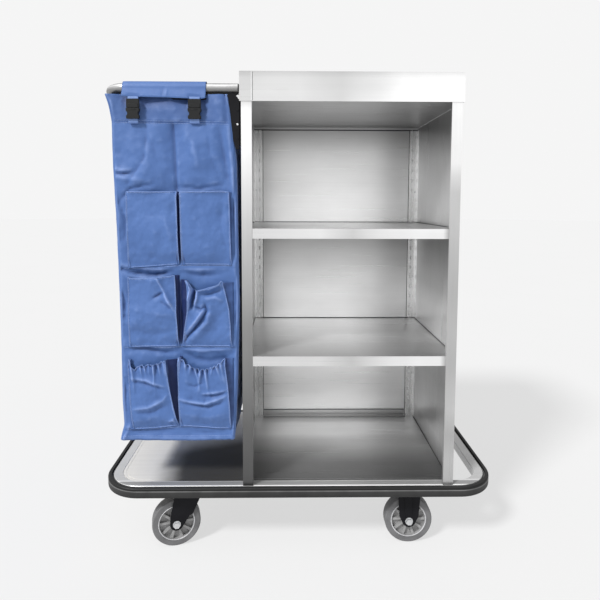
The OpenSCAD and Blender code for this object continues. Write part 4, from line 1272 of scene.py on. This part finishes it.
def buckle(k, x):
    """A buckle's plug and both its webbing tabs."""
    top = webbing(f"tab_top_{k}", TAB_TOP, x, 25.5, f"plug_{k}")
    low = webbing(f"tab_low_{k}", TAB_LOW, x, 23.0, "chassis")
    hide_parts("strap_tabs")
    plug = joined(
        f"buckle_plug_{k}_moulded", plug_plates(x), M["black_plastic"], f"plug_{k}"
    )
    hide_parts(f"buckle_plug_{k}")
    return top, low, plug


def sew_front(x, z):
    """A sewn line on the bag's front."""
    SEWN.append(np.stack([x, FRONT_Y - bag_front_relief(x, z) - 0.1, z], 1))


def soft_goods():
    """The bag and all that is sewn to it."""
    bag = bag_body()
    base = bag_base()
    pockets = []
    for row, pair in (
        ("pockets_top", top_pockets()), ("pockets_middle", middle_pockets()),
        ("pockets_bottom", bottom_pockets()),
    ):
        for piece in pair:
            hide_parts(row)
            pockets.append(piece)
    front = flap("flap_front_cloth", 1, smooth(FRONT_HEM))
    rear = flap("flap_rear_cloth", -1, smooth(REAR_HEM))
    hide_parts("flap_front")
    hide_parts("flap_rear")
    buckles = [buckle(k, x) for k, x in enumerate(BUCKLES, 1)]
    sockets = [part for x in BUCKLES for part in socket_plates(x)]
    socket = joined(
        "buckle_sockets_moulded", sockets, M["black_plastic"], "chassis"
    )
    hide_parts("buckle_sockets")
    x = np.linspace(-450, -172, 120)
    for beside_seam in (2.6, -2.6):
        sew_front(x, SEAM_Z(x) + beside_seam)
    for right, line in FRONT_SEAMS:
        x = np.linspace(line[0][0], right, 120)
        sew_front(x, lin(line)(x))
    stitches = stitching()
    folding = [bag, base, front, rear, *pockets, *(piece for three in buckles for piece in three)]
    for piece in (*folding, socket, stitches, piping()):
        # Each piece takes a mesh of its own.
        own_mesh(piece)


# ---------------------------------------------------------------- cabinet seams, wheel rims
def strips(name, boxes, material):
    """Thin strips with eased edges, from boxes of (x, y, z) spans in millimetres."""
    bm = bmesh.new()
    for x, y, z in boxes:
        made = bmesh.ops.create_cube(bm, size=1.0)["verts"]
        for v in made:
            v.co = [((a + b) / 2 + (b - a) * c) * MM for (a, b), c in zip((x, y, z), v.co)]
        edges = {e for v in made for e in v.link_edges}
        bmesh.ops.bevel(bm, geom=list(edges), offset=0.15 * MM, segments=1, affect="EDGES")
    return placed(from_bmesh(bm, name), material, "chassis")


def cabinet_seams():
    """Thin strips inside the cabinet and on the apron: dark ones, a painted shadow in the panel
    joints and the apron's joint, and bright ones, a painted highlight along folded edges.
    """
    back = (201.0, 202.3)
    # Painted shadow in the joints.
    dark = [((x, x + 1.6), back, (181, 1143)) for x in (-116.4, 365.0)]
    dark.append(((-143, 393), back, (1139.5, 1143)))
    for top in (840.0, 518.0):
        dark.append(((-143, 393), (200.9, 202.2), (top + 0.3, top + 2.0)))
        dark.append(((392.3, 393.6), (-220, 200), (top + 0.2, top + 1.4)))
        dark.append(((-143.6, -142.3), (-220, 200), (top + 0.2, top + 1.4)))
    dark.append(((-115, 365), (199.9, 201.1), (200.1, 201.8)))
    dark.append(((-115, 365), (185.2, 186.6), (181.3, 182.2)))
    dark.append(((392.3, 393.6), (-220, 200), (180.1, 181.5)))
    dark.append(((-117.2, -116.2), (-237.35, -236.9), (1151, 1218)))
    strips("cabinet_joint_shadows", dark, M["seam"])
    # Painted highlights along the folded edges.
    bright = [((392.6, 393.7), (-222, 200), (1147.4, 1148.8))]
    bright += [((x, x + 0.9), (-237.4, -236.9), (1151, 1218)) for x in (-120.4, -118.4)]
    bright += [((x, x + 1.2), (199.8, 200.9), (182, 1142)) for x in (-125.0, 373.0)]
    strips("cabinet_edge_highlights", bright, M["edge_highlight"])


def bracket_covers():
    """The black webs beside the bag's top corners, riveted to the folding brackets' channels."""
    outline = [(-186, 1164), (-176.6, 1159), (-174.4, 1128), (-170, 1092), (-165.2, 1056),
               (-158, 1034), (-149.6, 1034), (-149.4, 1150), (-153, 1158), (-160, 1166)]
    turn = 2 * np.pi * np.arange(16) / 16
    for side, way in (("front", -1), ("rear", 1)):
        web = plate(outline, sorted((way * 229.2, way * 228.0)), 0.3)
        bright, *dark = (
            plate(
                [(-154 + 2.6 * math.cos(a), z + 2.6 * math.sin(a)) for a in turn],
                sorted((way * 230.2, way * 227.7)), 0.5,
            )
            for z in (1094.0, 1060.0, 1128.0)
        )
        cover = f"bracket_cover_{side}"
        joined(cover, [web, *dark], M["black_metal"], "chassis")
        joined(f"bracket_rivet_{side}", [bright], M["zinc"], "chassis")


RIM_FACE = 14.5


def wheel_rims():
    """A raised pale rim on both faces of each wheel's plastic centre."""
    profile = [(44.2, -0.2), (44.5, 1.0), (45.3, 1.5), (46.6, 1.5), (47.4, 1.0), (47.7, -0.2)]
    for spot, turn in (("fl", 15.0), ("rl", 15.0), ("fr", 0.0), ("rr", 0.0)):
        low, high = (Vector(c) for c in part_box(f"core_{spot}"))
        centre = (low + high) / 2
        spin = Matrix.Rotation(math.radians(turn), 3, "Z")
        points, faces, n, rings = [], [], 72, len(profile)
        for way in (-1, 1):
            base = len(points)
            for a in 2 * np.pi * np.arange(n) / n:
                for r, out in profile:
                    p = Vector((r * math.cos(a), way * (RIM_FACE + out), r * math.sin(a)))
                    points.append(centre + spin @ p * MM)
            for i in range(n):
                here, there = base + i * rings, base + (i + 1) % n * rings
                for j in range(rings):
                    k = (j + 1) % rings
                    face = (here + j, here + k, there + k, there + j)
                    faces.append(face if way > 0 else face[::-1])
        mesh_of(f"wheel_rim_{spot}", points, faces, M["rim"], f"wheel_{spot}")


# ---------------------------------------------------------------- stage, light, camera
def floor():
    """A pale studio floor, lit from below a little so that its far edge melts away."""
    t = Tree("studio_floor")
    t.link(t.mix(t.noise(1.5, 2.0), grey(0.245), grey(0.255)), "Base Color")
    t.set(Roughness=0.95, Specular_IOR_Level=0.0)
    t.set(Emission_Color=grey(1.0), Emission_Strength=FLOOR_GLOW)
    bm = bmesh.new()
    bmesh.ops.create_circle(bm, cap_ends=True, radius=30.0, segments=96)
    me = from_bmesh(bm, "studio_floor")
    ob = bpy.data.objects.new("studio_floor", me)
    scene.collection.objects.link(ob)
    me.materials.append(t.mat)


BACKDROP = 0.915
FLOOR_GLOW = 0.6
SOFT_SHARE = 0.4


def world():
    """An even pale backdrop. What metal mirrors is brightest in front and above, and the fill on
    matt surfaces is weaker than that, so that the key light models their folds."""
    w = bpy.data.worlds.new("studio")
    scene.world = w
    w.use_nodes = True
    t = Nodes(w.node_tree)
    way = t.add("ShaderNodeTexCoord").outputs["Generated"]
    bright = Vector((-0.25, -0.75, 0.60)).normalized()
    aim = t.add("ShaderNodeVectorMath", {0: way, 1: bright}, operation="DOT_PRODUCT")
    tone = t.span(aim.outputs["Value"], -0.2, 0.9, 0.45, 1.25, smooth=True)
    seen = t.add("ShaderNodeLightPath").outputs
    dim = t.math("MULTIPLY_ADD", seen["Is Diffuse Ray"], -SOFT_SHARE, 1.0)
    level = t.math("MULTIPLY", tone, dim)
    pick = t.add("ShaderNodeMix", {0: seen["Is Camera Ray"], 2: level, 3: BACKDROP})
    background = t.nodes["Background"].inputs
    background["Color"].default_value = grey(1.0)
    t.links.new(pick.outputs[0], background["Strength"])


def sun(name, towards, power, spread):
    data = bpy.data.lights.new(name, "SUN")
    data.energy, data.angle = power, math.radians(spread)
    ob = bpy.data.objects.new(name, data)
    ob.rotation_euler = Vector(towards).to_track_quat("-Z", "Y").to_euler()
    scene.collection.objects.link(ob)


def camera():
    """The photo's camera, as solved from the cart's own straight edges."""
    data = bpy.data.cameras.new("camera")
    ob = bpy.data.objects.new("camera", data)
    scene.collection.objects.link(ob)
    yaw, pitch, roll = 0.0134, 0.0769, 0.0025
    level = Vector((math.sin(yaw), math.cos(yaw), 0))
    ahead = math.cos(pitch) * level - math.sin(pitch) * Vector((0, 0, 1))
    right = Vector((math.cos(yaw), -math.sin(yaw), 0))
    up = right.cross(ahead)
    r = math.cos(roll) * right + math.sin(roll) * up
    u = -math.sin(roll) * right + math.cos(roll) * up
    turn = Matrix((r, u, -ahead)).transposed().to_4x4()
    ob.matrix_world = Matrix.Translation((-0.0233, -1.4977, 0.9030)) @ turn
    data.sensor_width = 36.0
    data.lens = data.sensor_width * 0.8533167
    data.shift_x, data.shift_y = 0.0037, -0.0957667
    scene.camera = ob


soft_goods()
cabinet_seams()
bracket_covers()
wheel_rims()
floor()
world()
sun("key", (0.5, 0.52, -0.69), 3.0, 10)
camera()
scene.view_settings.view_transform = "Standard"
